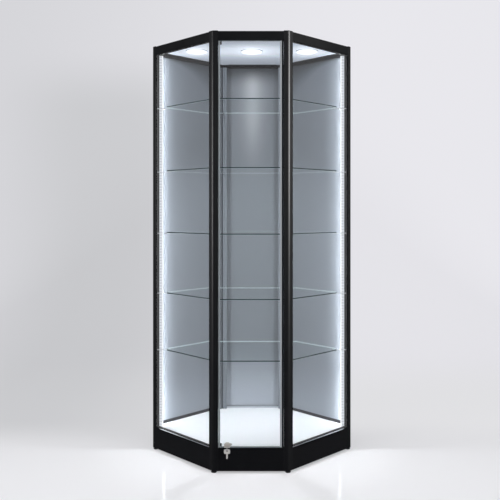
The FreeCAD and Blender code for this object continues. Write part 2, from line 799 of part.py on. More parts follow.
def make_hinge_stile():
    """A full-height profile round the glass edge that turns on a pin at each end."""
    axis = place(HINGE_X, GLASS_MID, DOOR_LOW)
    height = DOOR_HIGH - DOOR_LOW
    stile = disc(STILE_RADIUS, axis, UP, height)
    arm_tip = HINGE_X - STILE_ARM
    stile = stile.fuse(upright(
        arm_tip, HINGE_X, GLASS_MID - STILE_HALF, GLASS_MID + STILE_HALF, DOOR_LOW, DOOR_HIGH
    ))
    stile = stile.cut(upright(
        arm_tip, GLASS_RIGHT, GLASS_IN, GLASS_BACK, DOOR_LOW, DOOR_HIGH
    ))
    reach = HINGE_PIN_LENGTH + DOOR_GAP
    pins = [
        disc(HINGE_PIN_RADIUS, axis - UP * reach, UP, reach),
        disc(HINGE_PIN_RADIUS, axis + UP * height, UP, reach),
    ]
    return stile.fuse(pins).removeSplitter()


def make_edge_seal():
    """A clear channel pushed over the closing edge of the glass."""
    front = GLASS_IN - EDGE_SEAL_WALL
    back = GLASS_BACK + EDGE_SEAL_WALL
    inner = -SEAL_OUT + EDGE_SEAL_WIDTH
    body = upright(-SEAL_OUT, inner, front, back, DOOR_LOW, DOOR_HIGH)
    edges = upright_edges(body, place(-SEAL_OUT, front), TOUCH)
    edges += upright_edges(body, place(-SEAL_OUT, back), TOUCH)
    body = body.makeFillet(EDGE_SEAL_ROUND, edges)
    return body.cut(upright(GLASS_LEFT, inner, GLASS_IN, GLASS_BACK, DOOR_LOW, DOOR_HIGH))


def make_bush(z, direction):
    """A bush in a front rail: its proud end carries or guides the stile."""
    bore = HINGE_PIN_RADIUS + HINGE_PLAY
    proud = DOOR_GAP - REST_GAP
    profile = [
        (bore, -BUSH_DEPTH),
        (BUSH_RADIUS, -BUSH_DEPTH),
        (BUSH_RADIUS, proud),
        (bore, proud),
    ]
    return revolved(profile, place(HINGE_X, GLASS_MID, z), direction, SIDEWAYS)


def drill_for_bush(rail, z, direction):
    centre = place(HINGE_X, GLASS_MID, z) - direction * BUSH_DEPTH
    return rail.cut(disc(BUSH_RADIUS, centre, direction, BUSH_DEPTH))


def cut_strike(rail):
    """The slot in the plinth rail that the lock's cam turns down into."""
    left = LOCK_X - CAM_WIDTH / 2 - STRIKE_CLEAR
    right = LOCK_X + math.sqrt(CAM_LENGTH ** 2 - LOCK_LIFT ** 2) + STRIKE_CLEAR
    front = CAM_FRONT - STRIKE_CLEAR
    back = CAM_FRONT + CAM_THICK + STRIKE_CLEAR
    bottom = LOCK_Z - CAM_LENGTH - STRIKE_CLEAR
    return rail.cut(upright(left, right, front, back, bottom, PLINTH_TOP))


def make_door_stop(low):
    """A block behind the closing edge that the door shuts against."""
    front = GLASS_BACK + EDGE_SEAL_WALL + REST_GAP
    block = upright(-JAMB, -JAMB + STOP_WIDTH, front, front + STOP_DEPTH, low, low + STOP_HEIGHT)
    edges = upright_edges(block, place(-JAMB + STOP_WIDTH, front + STOP_DEPTH), TOUCH)
    return block.makeChamfer(STOP_DEPTH / 2, edges)


# ---- lock and keys ------------------------------------------------------------------------
def make_lock_body():
    """The lock case: an eight-sided plate, a collar, a boss through the glass and a nut."""
    plate = upright(
        LOCK_X - LOCK_WIDTH / 2, LOCK_X + LOCK_WIDTH / 2,
        LOCK_FRONT + LOCK_COLLAR, GLASS_IN,
        LOCK_Z - LOCK_HEIGHT / 2, LOCK_Z + LOCK_HEIGHT / 2,
    )
    edges = [e for e in plate.Edges if abs(e.Vertexes[0].Y - e.Vertexes[1].Y) > TOUCH]
    plate = plate.makeChamfer(LOCK_PLATE_CUT, edges)
    collar = revolved([
        (0, LOCK_COLLAR),
        (LOCK_COLLAR_RADIUS, LOCK_COLLAR),
        (LOCK_COLLAR_RADIUS, LOCK_COLLAR / 2),
        (LOCK_COLLAR_RADIUS - LOCK_COLLAR / 2, 0),
        (0, 0),
    ], place(LOCK_X, LOCK_FRONT, LOCK_Z), BACKWARD, SIDEWAYS)
    boss_base = place(LOCK_X, GLASS_IN, LOCK_Z)
    boss = even_prism(PAD_SIDES, LOCK_BOSS_FLATS, boss_base, BACKWARD, SIDEWAYS, GLASS + LOCK_NUT)
    nut_base = place(LOCK_X, GLASS_BACK, LOCK_Z)
    nut = even_prism(NUT_SIDES, LOCK_NUT_FLATS, nut_base, BACKWARD, SIDEWAYS, LOCK_NUT)
    case = plate.fuse([collar, boss, nut]).removeSplitter()
    bore = BARREL_RADIUS + BARREL_PLAY
    return case.cut(lock_disc(bore, LOCK_FRONT, GLASS_BACK + LOCK_NUT))


def make_lock_barrel():
    """The barrel with its keyway, and the cam that turns down behind the plinth rail's face."""
    front = LOCK_FRONT - BARREL_PROUD
    barrel = lock_disc(BARREL_RADIUS, front, CAM_FRONT)
    tip = CAM_LENGTH - CAM_WIDTH / 2
    cam = lock_disc(CAM_WIDTH / 2, CAM_FRONT, CAM_FRONT + CAM_THICK)
    cam = cam.fuse([
        Part.makeBox(
            tip, CAM_THICK, CAM_WIDTH, place(LOCK_X, CAM_FRONT, LOCK_Z - CAM_WIDTH / 2)
        ),
        disc(CAM_WIDTH / 2, place(LOCK_X + tip, CAM_FRONT, LOCK_Z), BACKWARD, CAM_THICK),
    ])
    half = KEY_BLADE / 2 + KEYWAY_PLAY
    thick = KEY_THICK / 2 + KEYWAY_PLAY
    keyway = upright(
        LOCK_X - half, LOCK_X + half, front, front + KEY_DEPTH + KEYWAY_PLAY,
        LOCK_Z - thick, LOCK_Z + thick,
    )
    return barrel.fuse(cam).removeSplitter().cut(keyway)


def key_blank(blade_length):
    """A flat key in its own plane: the blade along +X from the origin, the bow along -X."""
    half = BOW_WIDTH / 2
    bow = Part.makeBox(BOW_LENGTH, BOW_WIDTH, KEY_THICK, Vec(-BOW_LENGTH, -half, -KEY_THICK / 2))
    edges = [e for e in bow.Edges if abs(e.Vertexes[0].Z - e.Vertexes[1].Z) > TOUCH]
    bow = bow.makeFillet(BOW_ROUND, edges)
    hole = Vec(BOW_RIM + BOW_HOLE - BOW_LENGTH, 0, -KEY_THICK / 2)
    bow = bow.cut(disc(BOW_HOLE, hole, UP, KEY_THICK))
    width = KEY_BLADE / 2
    low = Vec(0, 0, -KEY_THICK / 2)
    root = -BOW_ROUND / 2
    outline = [
        Vec(root, -width, 0),
        Vec(blade_length - KEY_POINT, -width, 0),
        Vec(blade_length, -width + KEY_POINT, 0),
        Vec(blade_length, width - 2 * KEY_POINT, 0),
        Vec(blade_length - 2 * KEY_POINT, width, 0),
        Vec(root, width, 0),
    ]
    blade = prism([point + low for point in outline], UP * KEY_THICK)
    notch_start = Vec(blade_length - 2 * KEY_POINT, width - KEY_NOTCH_DEPTH, 0) + low
    notch = Part.makeBox(KEY_POINT, KEY_NOTCH_DEPTH, KEY_THICK, notch_start)
    for count in range(KEY_NOTCHES):
        blade = blade.cut(notch.translated(Vec(-2 * count * KEY_POINT, 0, 0)))
    return bow.fuse(blade).removeSplitter()


def make_key():
    """The key in the lock, its bow lying flat while the door is unlocked."""
    key = key_blank(KEY_SHANK + KEY_DEPTH)
    key.rotate(Vec(0, 0, 0), UP, 90)
    key.translate(place(LOCK_X, -BOW_START, LOCK_Z))
    return key


RING_CENTRE_DROP = math.sqrt((RING_RADIUS - RING_WIRE) ** 2 - (BOW_RIM / 2) ** 2)
RING_Z = LOCK_Z + KEY_THICK / 2 + RING_GAP - RING_CENTRE_DROP


def make_key_ring():
    """A ring of square wire, on edge, that hangs through the bow of the key in the lock."""
    centre = place(LOCK_X, -RING_FROM_PLANE, RING_Z)
    profile = [
        (RING_RADIUS - RING_WIRE, 0),
        (RING_RADIUS, RING_WIRE),
        (RING_RADIUS + RING_WIRE, 0),
        (RING_RADIUS, -RING_WIRE),
    ]
    return revolved(profile, centre, SIDEWAYS, UP)


def make_spare_key():
    """The spare key, hanging blade down from the ring and facing forward."""
    key = key_blank(SPARE_BLADE_LENGTH)
    key.rotate(Vec(0, 0, 0), SIDEWAYS, 90)
    key.rotate(Vec(0, 0, 0), BACKWARD, 90)
    sag = math.sqrt((RING_RADIUS - RING_WIRE) ** 2 - (KEY_THICK / 2) ** 2)
    bow_top = RING_Z - sag + RING_GAP + BOW_RIM
    key.translate(place(LOCK_X, -RING_FROM_PLANE, bow_top - BOW_LENGTH))
    return key


# ---- levelling feet -----------------------------------------------------------------------
def make_foot(corner):
    """A twelve-sided pad with a spanner hexagon, on a stem that screws up into the post's port."""
    centre = at_height([port_of(corner)], 0.0)[0]
    pad = even_prism(PAD_SIDES, FOOT_FLATS, centre, UP, SIDEWAYS, FOOT_PAD)
    rim = [e for e in pad.Edges if all(abs(v.Z) < TOUCH for v in e.Vertexes)]
    pad = pad.makeChamfer(FOOT_EASE, rim)
    hexagon_height = FLOOR_GAP - FOOT_NECK_GAP - FOOT_PAD
    neck = centre + UP * FOOT_PAD
    hexagon = even_prism(NUT_SIDES, FOOT_HEX_FLATS, neck, UP, SIDEWAYS, hexagon_height)
    stem_length = FLOOR_GAP + FOOT_STEM - FOOT_PAD
    stem = even_prism(PAD_SIDES, FOOT_STEM_FLATS, neck, UP, SIDEWAYS, stem_length)
    return pad.fuse([hexagon, stem]).removeSplitter()


# ---- all the nodes ------------------------------------------------------------------------
def build():
    os.makedirs("parts", exist_ok=True)

    for corner in CORNERS:
        save("%s_post" % corner, make_post(corner))
        save("%s_foot" % corner, make_foot(corner))
    save("post_caps", [make_post_cap(corner) for corner in CORNERS])

    down = UP * -1
    for name, face in SIDES.items():
        top_rail = make_top_rail(face)
        bottom_rail = make_bottom_rail(face)
        if name == "front":
            top_rail = drill_for_bush(top_rail, HEAD_UNDER, down)
            bottom_rail = cut_strike(drill_for_bush(bottom_rail, PLINTH_TOP, UP))
        save("%s_top_rail" % name, top_rail)
        save("%s_bottom_rail" % name, bottom_rail)
    save("deck", make_deck())
    save("ceiling", make_ceiling())
    save("roof", make_roof())

    for name in GLAZED:
        save("%s_glass" % name, make_pane(SIDES[name]))
    for name in PANELLED:
        save("%s_panel" % name, make_panel(SIDES[name]))
    save("glass_gaskets", [make_gasket(SIDES[name]) for name in GLAZED])
    save("deck_beads", [make_bead(SIDES[name]) for name in PANELLED])

    rear = ("rear_left", "rear_right")
    for count, top in enumerate(SHELF_TOPS, start=1):
        save("shelf_%d" % count, make_shelf(top))
    save("shelf_channels", [make_channel(corner) for corner in rear])
    save("shelf_brackets", [make_bracket(corner, top) for corner in rear for top in SHELF_TOPS])
    plates = [make_support_plate(side, top) for side in (-1, 1) for top in SHELF_TOPS]
    clips = [make_shelf_clip(side, top) for side in (-1, 1) for top in SHELF_TOPS]
    save("shelf_supports", plates + clips)

    save("led_housings", [make_led_housing(side) for side in (-1, 1)])
    save("led_diffusers", [make_led_diffuser(side) for side in (-1, 1)])
    lamps = lamp_centres(CEILING_UNDER)
    save("lamp_bodies", [make_lamp_can(centre) for centre in lamps])
    save("lamp_rings", [make_lamp_ring(centre) for centre in lamps])
    save("lamp_lenses", [make_lamp_lens(centre) for centre in lamps])
    save("led_driver", make_driver())
    save("cable_inlet", make_inlet())

    save("door_glass", make_door_glass())
    save("hinge_stile", make_hinge_stile())
    save("door_edge_seal", make_edge_seal())
    save("hinge_bushes", [make_bush(PLINTH_TOP, UP), make_bush(HEAD_UNDER, down)])
    stops = [make_door_stop(PLINTH_TOP), make_door_stop(HEAD_UNDER - STOP_HEIGHT)]
    save("door_stops", stops)

    save("lock_case", make_lock_body())
    save("lock_barrel", make_lock_barrel())
    save("key", make_key())
    save("key_ring", make_key_ring())
    save("spare_key", make_spare_key())


build()
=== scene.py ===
import json
import logging
import math
from dataclasses import dataclass
from enum import Enum
from typing import Any, Callable, ClassVar, Sequence

import bmesh
import bpy
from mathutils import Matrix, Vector


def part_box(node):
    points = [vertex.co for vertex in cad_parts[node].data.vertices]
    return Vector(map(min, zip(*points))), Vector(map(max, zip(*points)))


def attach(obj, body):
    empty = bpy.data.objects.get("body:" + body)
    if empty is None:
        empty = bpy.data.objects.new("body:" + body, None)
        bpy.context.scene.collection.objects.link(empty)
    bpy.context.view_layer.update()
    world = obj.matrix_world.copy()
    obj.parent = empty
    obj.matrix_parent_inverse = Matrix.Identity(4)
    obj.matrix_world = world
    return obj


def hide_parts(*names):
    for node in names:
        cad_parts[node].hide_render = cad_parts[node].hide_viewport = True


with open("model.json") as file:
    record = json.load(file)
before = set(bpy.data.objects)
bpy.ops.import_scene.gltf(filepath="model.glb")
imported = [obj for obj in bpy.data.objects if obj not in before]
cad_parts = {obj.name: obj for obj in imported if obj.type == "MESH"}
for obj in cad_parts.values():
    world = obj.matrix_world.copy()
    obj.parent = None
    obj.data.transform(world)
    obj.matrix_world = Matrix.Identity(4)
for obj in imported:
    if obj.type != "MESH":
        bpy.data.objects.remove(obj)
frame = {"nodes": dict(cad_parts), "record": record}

LOG = logging.getLogger("corner_cabinet")

Colour = tuple[float, float, float]
Point = tuple[float, float, float]
Span = tuple[float, float]  # where a signal starts to rise, and where it has reached one
Names = tuple[str, ...]

BLACK: Colour = (0.0, 0.0, 0.0)
WHITE: Colour = (1.0, 1.0, 1.0)
SLOTS = {row["node"]: row["material_slot"] for row in frame["record"]["subparts"]}


class Step(Enum):
    """Grain sizes of the surface textures, in waves per metre."""

    BROAD = 3.0
    CLOUD = 14.0
    MOTTLE = 60.0
    BRUSH = 420.0
    SPECKLE = 1500.0


class Axis(Enum):
    """The axis that a place or a surface's direction is measured along."""

    ACROSS = "X"
    BACK = "Y"
    UP = "Z"


class LampShape(Enum):
    """Outlines of the area lamps."""

    ROUND = "DISK"
    LONG = "RECTANGLE"


class Role(Enum):
    """What a studio lamp is for."""

    FILL = "soft light that gloss doesn't show"
    HIGHLIGHT = "highlights on the black coats alone"


# ---- shader trees ----
def rgba(colour: Colour) -> tuple[float, float, float, float]:
    """A colour with full alpha, as sockets take it."""
    return (*colour, 1.0)


def math_method(
    operation: str, reflected: bool = False
) -> Callable[["Signal", Any], "Signal"]:
    """Make a method of Signal that works out a sum with another signal or a number.

    Args:
        operation: the Math node's operation.
        reflected: whether the signal is the second of the two values.

    Returns:
        The method.
    """

    def work_out(signal: "Signal", other: Any) -> "Signal":
        """The operation's value for the two, from one Math node."""
        pair = (other, signal) if reflected else (signal, other)
        return signal.tree.maths(operation, *pair)

    return work_out


class Signal:
    """A socket of a shader tree that takes part in Python arithmetic."""

    __add__ = __radd__ = math_method("ADD")
    __sub__ = math_method("SUBTRACT")
    __rsub__ = math_method("SUBTRACT", reflected=True)
    __mul__ = __rmul__ = math_method("MULTIPLY")
    __truediv__ = math_method("DIVIDE")
    __rtruediv__ = math_method("DIVIDE", reflected=True)
    __pow__ = math_method("POWER")
    __rpow__ = math_method("POWER", reflected=True)
    __gt__ = math_method("GREATER_THAN")
    __lt__ = math_method("LESS_THAN")
    largest = math_method("MAXIMUM")
    smallest = math_method("MINIMUM")

    def __init__(self, tree: "ShaderTree", socket: bpy.types.NodeSocket) -> None:
        """Wrap one output socket of a tree."""
        self.tree = tree
        self.socket = socket

    def size(self) -> "Signal":
        """The signal without its sign."""
        return self.tree.maths("ABSOLUTE", self)

    def sine(self) -> "Signal":
        """Sine of the signal, in radians."""
        return self.tree.maths("SINE", self)

    def rise(self, start: float, end: float) -> "Signal":
        """Climb smoothly from nought at start to one at end, which may be the lower of the two.

        Args:
            start: value where the climb begins.
            end: value where it has reached one.

        Returns:
            The clamped climb.
        """
        settings = {"interpolation_type": "SMOOTHSTEP", "clamp": True}
        values = {"Value": self, "From Min": start, "From Max": end}
        return self.tree.node("ShaderNodeMapRange", settings, values)["Result"]


class Made:
    """A node that has been added, whose outputs are read by name or number."""

    def __init__(self, tree: "ShaderTree", node: bpy.types.Node) -> None:
        """Keep the node with its tree."""
        self.tree = tree
        self.node = node

    def __getitem__(self, output: str | int) -> Signal:
        """One output of the node as a signal."""
        return Signal(self.tree, self.node.outputs[output])


class ShaderTree:
    """The node tree of one material, with a single way to add a node."""

    output_kind: ClassVar[str] = "ShaderNodeOutputMaterial"

    def __init__(self, name: str) -> None:
        """Start an empty tree with its output.

        Args:
            name: name of the material that owns the tree.
        """
        self.owner = self._new_owner(name)
        self.owner.use_nodes = True
        self.nodes = self.owner.node_tree.nodes
        self.links = self.owner.node_tree.links
        self.nodes.clear()
        self.output = self.nodes.new(self.output_kind)

    def _new_owner(self, name: str) -> bpy.types.ID:
        """The new material that owns the tree."""
        return bpy.data.materials.new(name)

    def node(
        self, kind: str, settings: dict[str, Any] | None = None,
        values: dict[Any, Any] | None = None,
    ) -> Made:
        """Add a node.

        Args:
            kind: Blender's name of the node type.
            settings: the node's own settings, which are made first.
            values: numbers, colours or signals for the sockets, by name or index.

        Returns:
            The node, ready to be read.
        """
        node = self.nodes.new(kind)
        for key, value in (settings or {}).items():
            setattr(node, key, value)
        for key, value in (values or {}).items():
            socket = node.inputs[key]
            if isinstance(value, Signal):
                self.links.new(value.socket, socket)
            else:
                socket.default_value = value
        return Made(self, node)

    def maths(self, operation: str, *values: Any) -> Signal:
        """The value of one Math node."""
        settings = {"operation": operation}
        return self.node("ShaderNodeMath", settings, dict(enumerate(values)))["Value"]

    def finish(self, shader: Signal) -> bpy.types.ID:
        """Link the last shader to the output.

        Args:
            shader: the last shader.

        Returns:
            The material or world that owns the tree.
        """
        self.links.new(shader.socket, self.output.inputs["Surface"])
        return self.owner

    def place(self) -> Signal:
        """Position on the piece at rest, in metres, as a vector."""
        return self.node("ShaderNodeTexCoord")["Object"]

    def along(self, axis: Axis) -> Signal:
        """Position along one axis, in metres."""
        return self.node("ShaderNodeSeparateXYZ", values={0: self.place()})[axis.value]

    def facing(self, axis: Axis) -> Signal:
        """How far the surface faces along an axis of the piece at rest, from -1 to 1."""
        normal = self.node("ShaderNodeTexCoord")["Normal"]
        return self.node("ShaderNodeSeparateXYZ", values={0: normal})[axis.value]

    def faces_away(self) -> Signal:
        """One where a surface is seen from its far side, else nought."""
        return self.node("ShaderNodeNewGeometry")["Backfacing"]

    def stretched(self, scale: Point) -> Signal:
        """Position scaled along each axis, for grain that runs one way."""
        values = {0: self.place(), 1: scale}
        return self.node("ShaderNodeVectorMath", {"operation": "MULTIPLY"}, values)["Vector"]

    def distance(self, place: Signal, point: Point) -> Signal:
        """Distance between a position and a point, in metres."""
        values = {0: place, 1: point}
        return self.node("ShaderNodeVectorMath", {"operation": "DISTANCE"}, values)["Value"]

    def near(self, point: Point, reach: float) -> Signal:
        """Glow that is one at a point and has a quarter of that at a distance of reach."""
        share = self.distance(self.place(), point) / reach
        return 1.0 / (share * share + 1.0) ** 2.0

    def to_nearest(self, points: Sequence[Point]) -> Signal:
        """Level distance to the nearest of some upright axes.

        Args:
            points: one point of each axis.

        Returns:
            The distance in metres.
        """
        flat = self.stretched((1.0, 1.0, 0.0))
        gaps = [self.distance(flat, (point[0], point[1], 0.0)) for point in points]
        nearest = gaps[0]
        for gap in gaps[1:]:
            nearest = nearest.smallest(gap)
        return nearest

    def noise(self, step: Step, detail: float = 3.0, place: Signal | None = None) -> Signal:
        """Soft noise.

        Args:
            step: size of its grain.
            detail: how many finer layers it has.
            place: where it is read, if not at the plain position.

        Returns:
            The noise, from 0 to 1.
        """
        values = {"Vector": place or self.place(), "Scale": step.value, "Detail": detail}
        return self.node("ShaderNodeTexNoise", values=values)["Fac"]

    def blend(self, factor: Signal | float, first: Any, second: Any) -> Signal:
        """Mix two colours.

        Args:
            factor: share of the second colour.
            first: a colour or a signal.
            second: a colour or a signal.

        Returns:
            The mixed colour.
        """
        pair = [rgba(part) if isinstance(part, tuple) else part for part in (first, second)]
        values = {0: factor, 6: pair[0], 7: pair[1]}  # 6 and 7 are the colours A and B
        return self.node("ShaderNodeMix", {"data_type": "RGBA"}, values)[2]

    def bump(self, height: Signal, depth: float) -> Signal:
        """Turn a height signal, whose 1 stands for a depth in metres, into a normal."""
        values = {"Strength": 1.0, "Distance": depth, "Height": height}
        return self.node("ShaderNodeBump", values=values)["Normal"]

    def glow(self, share: Signal, colour: Colour) -> dict[str, Any]:
        """Socket values for a surface that shines in a colour by a share."""
        return {"Emission Color": self.blend(share, BLACK, colour), "Emission Strength": 1.0}

    def solid(self, values: dict[str, Any]) -> Signal:
        """A Principled surface from its socket values."""
        return self.node("ShaderNodeBsdfPrincipled", values=values)["BSDF"]

    def clear(self, tint: Colour) -> Signal:
        """A surface that lets light straight through."""
        return self.node("ShaderNodeBsdfTransparent", values={"Color": rgba(tint)})["BSDF"]

    def sheen(self, roughness: float) -> Signal:
        """A colourless glossy surface."""
        values = {"Color": rgba(WHITE), "Roughness": roughness}
        return self.node("ShaderNodeBsdfGlossy", values=values)["BSDF"]

    def mix(self, factor: Any, first: Signal, second: Signal) -> Signal:
        """Mix two shaders by a factor."""
        values = {0: factor, 1: first, 2: second}
        return self.node("ShaderNodeMixShader", values=values)["Shader"]

    def shown_directly(self) -> Signal:
        """One for rays from the camera, from gloss and through glass.

        Returns:
            The rays' signal.
        """
        rays = self.node("ShaderNodeLightPath")
        direct = rays["Is Camera Ray"].largest(rays["Is Glossy Ray"])
        return direct.largest(rays["Is Transmission Ray"])


class WorldTree(ShaderTree):
    """The same helper for the nodes of a world."""

    output_kind: ClassVar[str] = "ShaderNodeOutputWorld"

    def _new_owner(self, name: str) -> bpy.types.ID:
        """The new world that owns the tree."""
        return bpy.data.worlds.new(name)

    def background(self, colour: Colour, strength: float) -> Signal:
        """A world surface of one colour."""
        values = {"Color": rgba(colour), "Strength": strength}
        return self.node("ShaderNodeBackground", values=values)["Background"]


# ---- finishes ----
@dataclass(frozen=True)
class Finish:
    """A surface that is made once as a material and shared by pieces."""

    see_through: ClassVar[bool] = False

    def surface(self, tree: ShaderTree) -> Signal:
        """The finish's last shader, which each finish builds in its own way."""
        raise NotImplementedError

    def make(self, name: str) -> bpy.types.Material:
        """Build the material.

        Args:
            name: the material's name.

        Returns:
            The material, with the finish's surface.
        """
        tree = ShaderTree(name)
        material = tree.finish(self.surface(tree))
        if self.see_through:
            material.surface_render_method = "BLENDED"
        return material


@dataclass(frozen=True)
class PowderCoat(Finish):
    """Satin black powder coat over extruded aluminium."""

    colour: Colour = (0.0022, 0.0025, 0.0034)
    rubbed: Colour = (0.0045, 0.0048, 0.0060)
    roughness: float = 0.29
    gloss: float = 0.02
    peel: float = 0.00004

    def surface(self, tree: ShaderTree) -> Signal:
        """Orange peel with faintly rubbed spots.

        Args:
            tree: the material's tree.

        Returns:
            The coat.
        """
        cloud = tree.noise(Step.CLOUD)
        peel = tree.noise(Step.BRUSH, 2.0)
        fleck = tree.noise(Step.SPECKLE, 1.0)
        return tree.solid({
            "Base Color": tree.blend(cloud * 0.6 + fleck * 0.2, self.colour, self.rubbed),
            "Roughness": self.roughness + cloud * 0.08 + fleck * 0.05,
            "Normal": tree.bump(peel * 0.7 + fleck * 0.3, self.peel),
            "Specular IOR Level": self.gloss,
        })


@dataclass(frozen=True)
class PostCoat(PowderCoat):
    """The same coat on the posts, whose rounded noses spread a highlight."""

    roughness: float = 0.34
    gloss: float = 0.022


@dataclass(frozen=True)
class MouldedNylon(Finish):
    """Matt black moulded plastic or rubber with a fine spark texture."""

    colour: Colour = (0.005, 0.005, 0.006)
    worn: Colour = (0.010, 0.010, 0.011)
    roughness: float = 0.6
    spark: float = 0.00006

    def surface(self, tree: ShaderTree) -> Signal:
        """Matt plastic.

        Args:
            tree: the material's tree.

        Returns:
            The plastic.
        """
        spark = tree.noise(Step.SPECKLE, 2.0)
        cloud = tree.noise(Step.MOTTLE)
        return tree.solid({
            "Base Color": tree.blend(cloud * 0.5 + spark * 0.3, self.colour, self.worn),
            "Roughness": self.roughness + spark * 0.15,
            "Normal": tree.bump(spark, self.spark),
            "Specular IOR Level": 0.25,
        })


@dataclass(frozen=True)
class RailCoatWithPaintedHighlight(Finish):
    """Black rail under a side pane, with a painted highlight along its upper arris, brightest
    beside the LED line.
    """

    top: float  # height of the rail's top
    outer: float  # distance of its outer face from the middle
    black: Colour = (0.0026, 0.0029, 0.0038)
    # colours of the painted highlight on the upper arris: by the LED line, and dimmer further in
    shine: Colour = (0.80, 0.84, 0.90)
    dull: Colour = (0.24, 0.26, 0.29)
    width: float = 0.007
    drop: float = 0.0012
    fade: float = 0.001
    brightens: Span = (0.28, 0.42)  # across, where the painted highlight brightens towards the outer post
    # across, where painted shade of the outer post turns the highlight line black again
    shaded_by_post: Span = (0.455, 0.435)

    def surface(self, tree: ShaderTree) -> Signal:
        """Black coat with a painted highlight line.

        Args:
            tree: the material's tree.

        Returns:
            The coat.
        """
        cloud = tree.noise(Step.MOTTLE)
        across = tree.along(Axis.ACROSS).size()
        outward = (across - tree.along(Axis.BACK)) * math.sqrt(0.5)
        inner = self.outer - self.width
        low = self.top - self.drop
        strip = outward.rise(inner, inner + self.fade)
        arris = tree.along(Axis.UP).rise(low - self.fade, low)
        # painted highlight along the upper arris, brightest towards the outer post, then blacked
        # out by painted shade of the post
        line = tree.blend(across.rise(*self.brightens), self.dull, self.shine)
        line = tree.blend(across.rise(*self.shaded_by_post), self.black, line)
        return tree.solid({
            "Base Color": tree.blend(strip * arris, self.black, line),
            "Roughness": 0.29 + cloud * 0.08,
            "Specular IOR Level": 0.02,
        })


@dataclass(frozen=True)
class StileCoat(Finish):
    """The hinge stile: black round back, with a clear lip pushed over its glass-holding arm."""

    outer: float  # distance of the stile's outermost point from the middle
    bare: float = 0.008  # width of its back, which has no lip
    black: Colour = (0.0030, 0.0033, 0.0042)
    lip: Colour = (0.36, 0.385, 0.41)
    fade: float = 0.0004

    def surface(self, tree: ShaderTree) -> Signal:
        """Black coat, and the lip over a part of it.

        Args:
            tree: the material's tree.

        Returns:
            The coat with its lip.
        """
        cloud = tree.noise(Step.MOTTLE)
        lip_end = self.outer - self.bare
        covered = tree.along(Axis.ACROSS).rise(lip_end + self.fade, lip_end - self.fade)
        return tree.solid({
            "Base Color": tree.blend(covered, self.black, self.lip),
            "Roughness": 0.36 - covered * 0.12 + cloud * 0.08,
            "Coat Weight": covered * 0.4,
            "Specular IOR Level": 0.015,
        })


@dataclass(frozen=True)
class CoatedBoard(Finish):
    """A smooth coated board or panel with a faint leather grain."""

    colour: Colour
    shade: Colour
    roughness: float = 0.4
    grain: float = 0.00003

    def base(self, tree: ShaderTree, colour: Any, shade: Any) -> Signal:
        """A board colour that drifts a little over the surface.

        Args:
            tree: the material's tree.
            colour: the usual colour.
            shade: the darker one.

        Returns:
            The colour as a signal.
        """
        drift = tree.noise(Step.BROAD) * 0.7 + tree.noise(Step.BRUSH, 2.0) * 0.3
        return tree.blend(drift, colour, shade)

    def board(self, tree: ShaderTree, values: dict[str, Any]) -> Signal:
        """The board itself, with more socket values of a special board.

        Args:
            tree: the material's tree.
            values: the socket values that differ from a plain board.

        Returns:
            The board.
        """
        grain = tree.noise(Step.BRUSH, 2.0)
        return tree.solid({
            "Roughness": self.roughness + grain * 0.08,
            "Normal": tree.bump(grain, self.grain),
            **values,
        })

    def surface(self, tree: ShaderTree) -> Signal:
        """A plain board."""
        return self.board(tree, {"Base Color": self.base(tree, self.colour, self.shade)})


@dataclass(frozen=True, kw_only=True)
class BackPanel(CoatedBoard):
    """A rear panel: painted shade under the ceiling, painted light from the deck that lightens its
    foot, and a painted glow where a lamp shines.
    """

    top: float  # height of the panel's top
    led: float  # distance of the LED lines from the middle
    roughness: float = 0.42
    # colour of the painted shade under the ceiling
    dark: Colour = (0.01, 0.012, 0.015)
    dim: float = 0.72  # share of the painted shade under the ceiling
    spread: float = 3.8  # how fast the painted shade grows away from the LED line
    least: float = 0.02  # height of the painted shade beside the LED line
    reach: float = 0.20  # its largest height
    # painted light bounced from the deck, which lightens the panel near its foot: height, gain and
    # reach
    deck: float = 0.12
    deck_gain: float = 0.35
    deck_reach: float = 0.28
    # painted glow of a ceiling lamp on the panel: share, width, rise and fade
    glow_share: float = 0.0
    glow_half: float = 0.062
    glow_rise: Span = (1.30, 1.85)
    glow_fade: float = 0.10
    tint: Colour = (0.92, 0.95, 1.0)
    outer: Colour = (0.40, 0.415, 0.44)
    outer_shade: Colour = (0.37, 0.385, 0.41)

    def lit(self, tree: ShaderTree, inside: Signal) -> dict[str, Any]:
        """Socket values of the lamp's painted glow on the panel.

        Args:
            tree: the material's tree.
            inside: one on the face towards the shelves.

        Returns:
            The values for the Principled surface.
        """
        up = tree.along(Axis.UP)
        wide = tree.along(Axis.ACROSS) / self.glow_half
        column = 1.0 / (wide * wide + 1.0) ** 1.5
        height = up.rise(*self.glow_rise) * up.rise(self.top, self.top - self.glow_fade)
        return tree.glow(column * height * inside * self.glow_share, self.tint)

    def surface(self, tree: ShaderTree) -> Signal:
        """The board, with painted shade under the ceiling over a height that grows away from the
        LED line, and painted deck light near its foot.

        Args:
            tree: the material's tree.

        Returns:
            The panel.
        """
        up = tree.along(Axis.UP)
        inward = self.led - tree.along(Axis.ACROSS).size()
        reach = (inward * inward * self.spread + self.least).smallest(self.reach)
        share = ((self.top - up) / reach).rise(-0.1, 1.0)
        inside = tree.facing(Axis.BACK).rise(-0.2, -0.5)
        # painted deck light: a lighter colour near the deck
        painted_deck_light = tuple(part * (1.0 + self.deck_gain) for part in self.colour)
        board = self.base(tree, self.colour, self.shade)
        board = tree.blend(up.rise(self.deck + self.deck_reach, self.deck), board, painted_deck_light)
        # painted shade under the ceiling
        board = tree.blend((1.0 - share) * self.dim, board, self.dark)
        outside = self.base(tree, self.outer, self.outer_shade)
        return self.board(tree, {
            "Base Color": tree.blend(inside, outside, board),
            "Specular IOR Level": 0.18,
            **(self.lit(tree, inside) if self.glow_share else {}),
        })


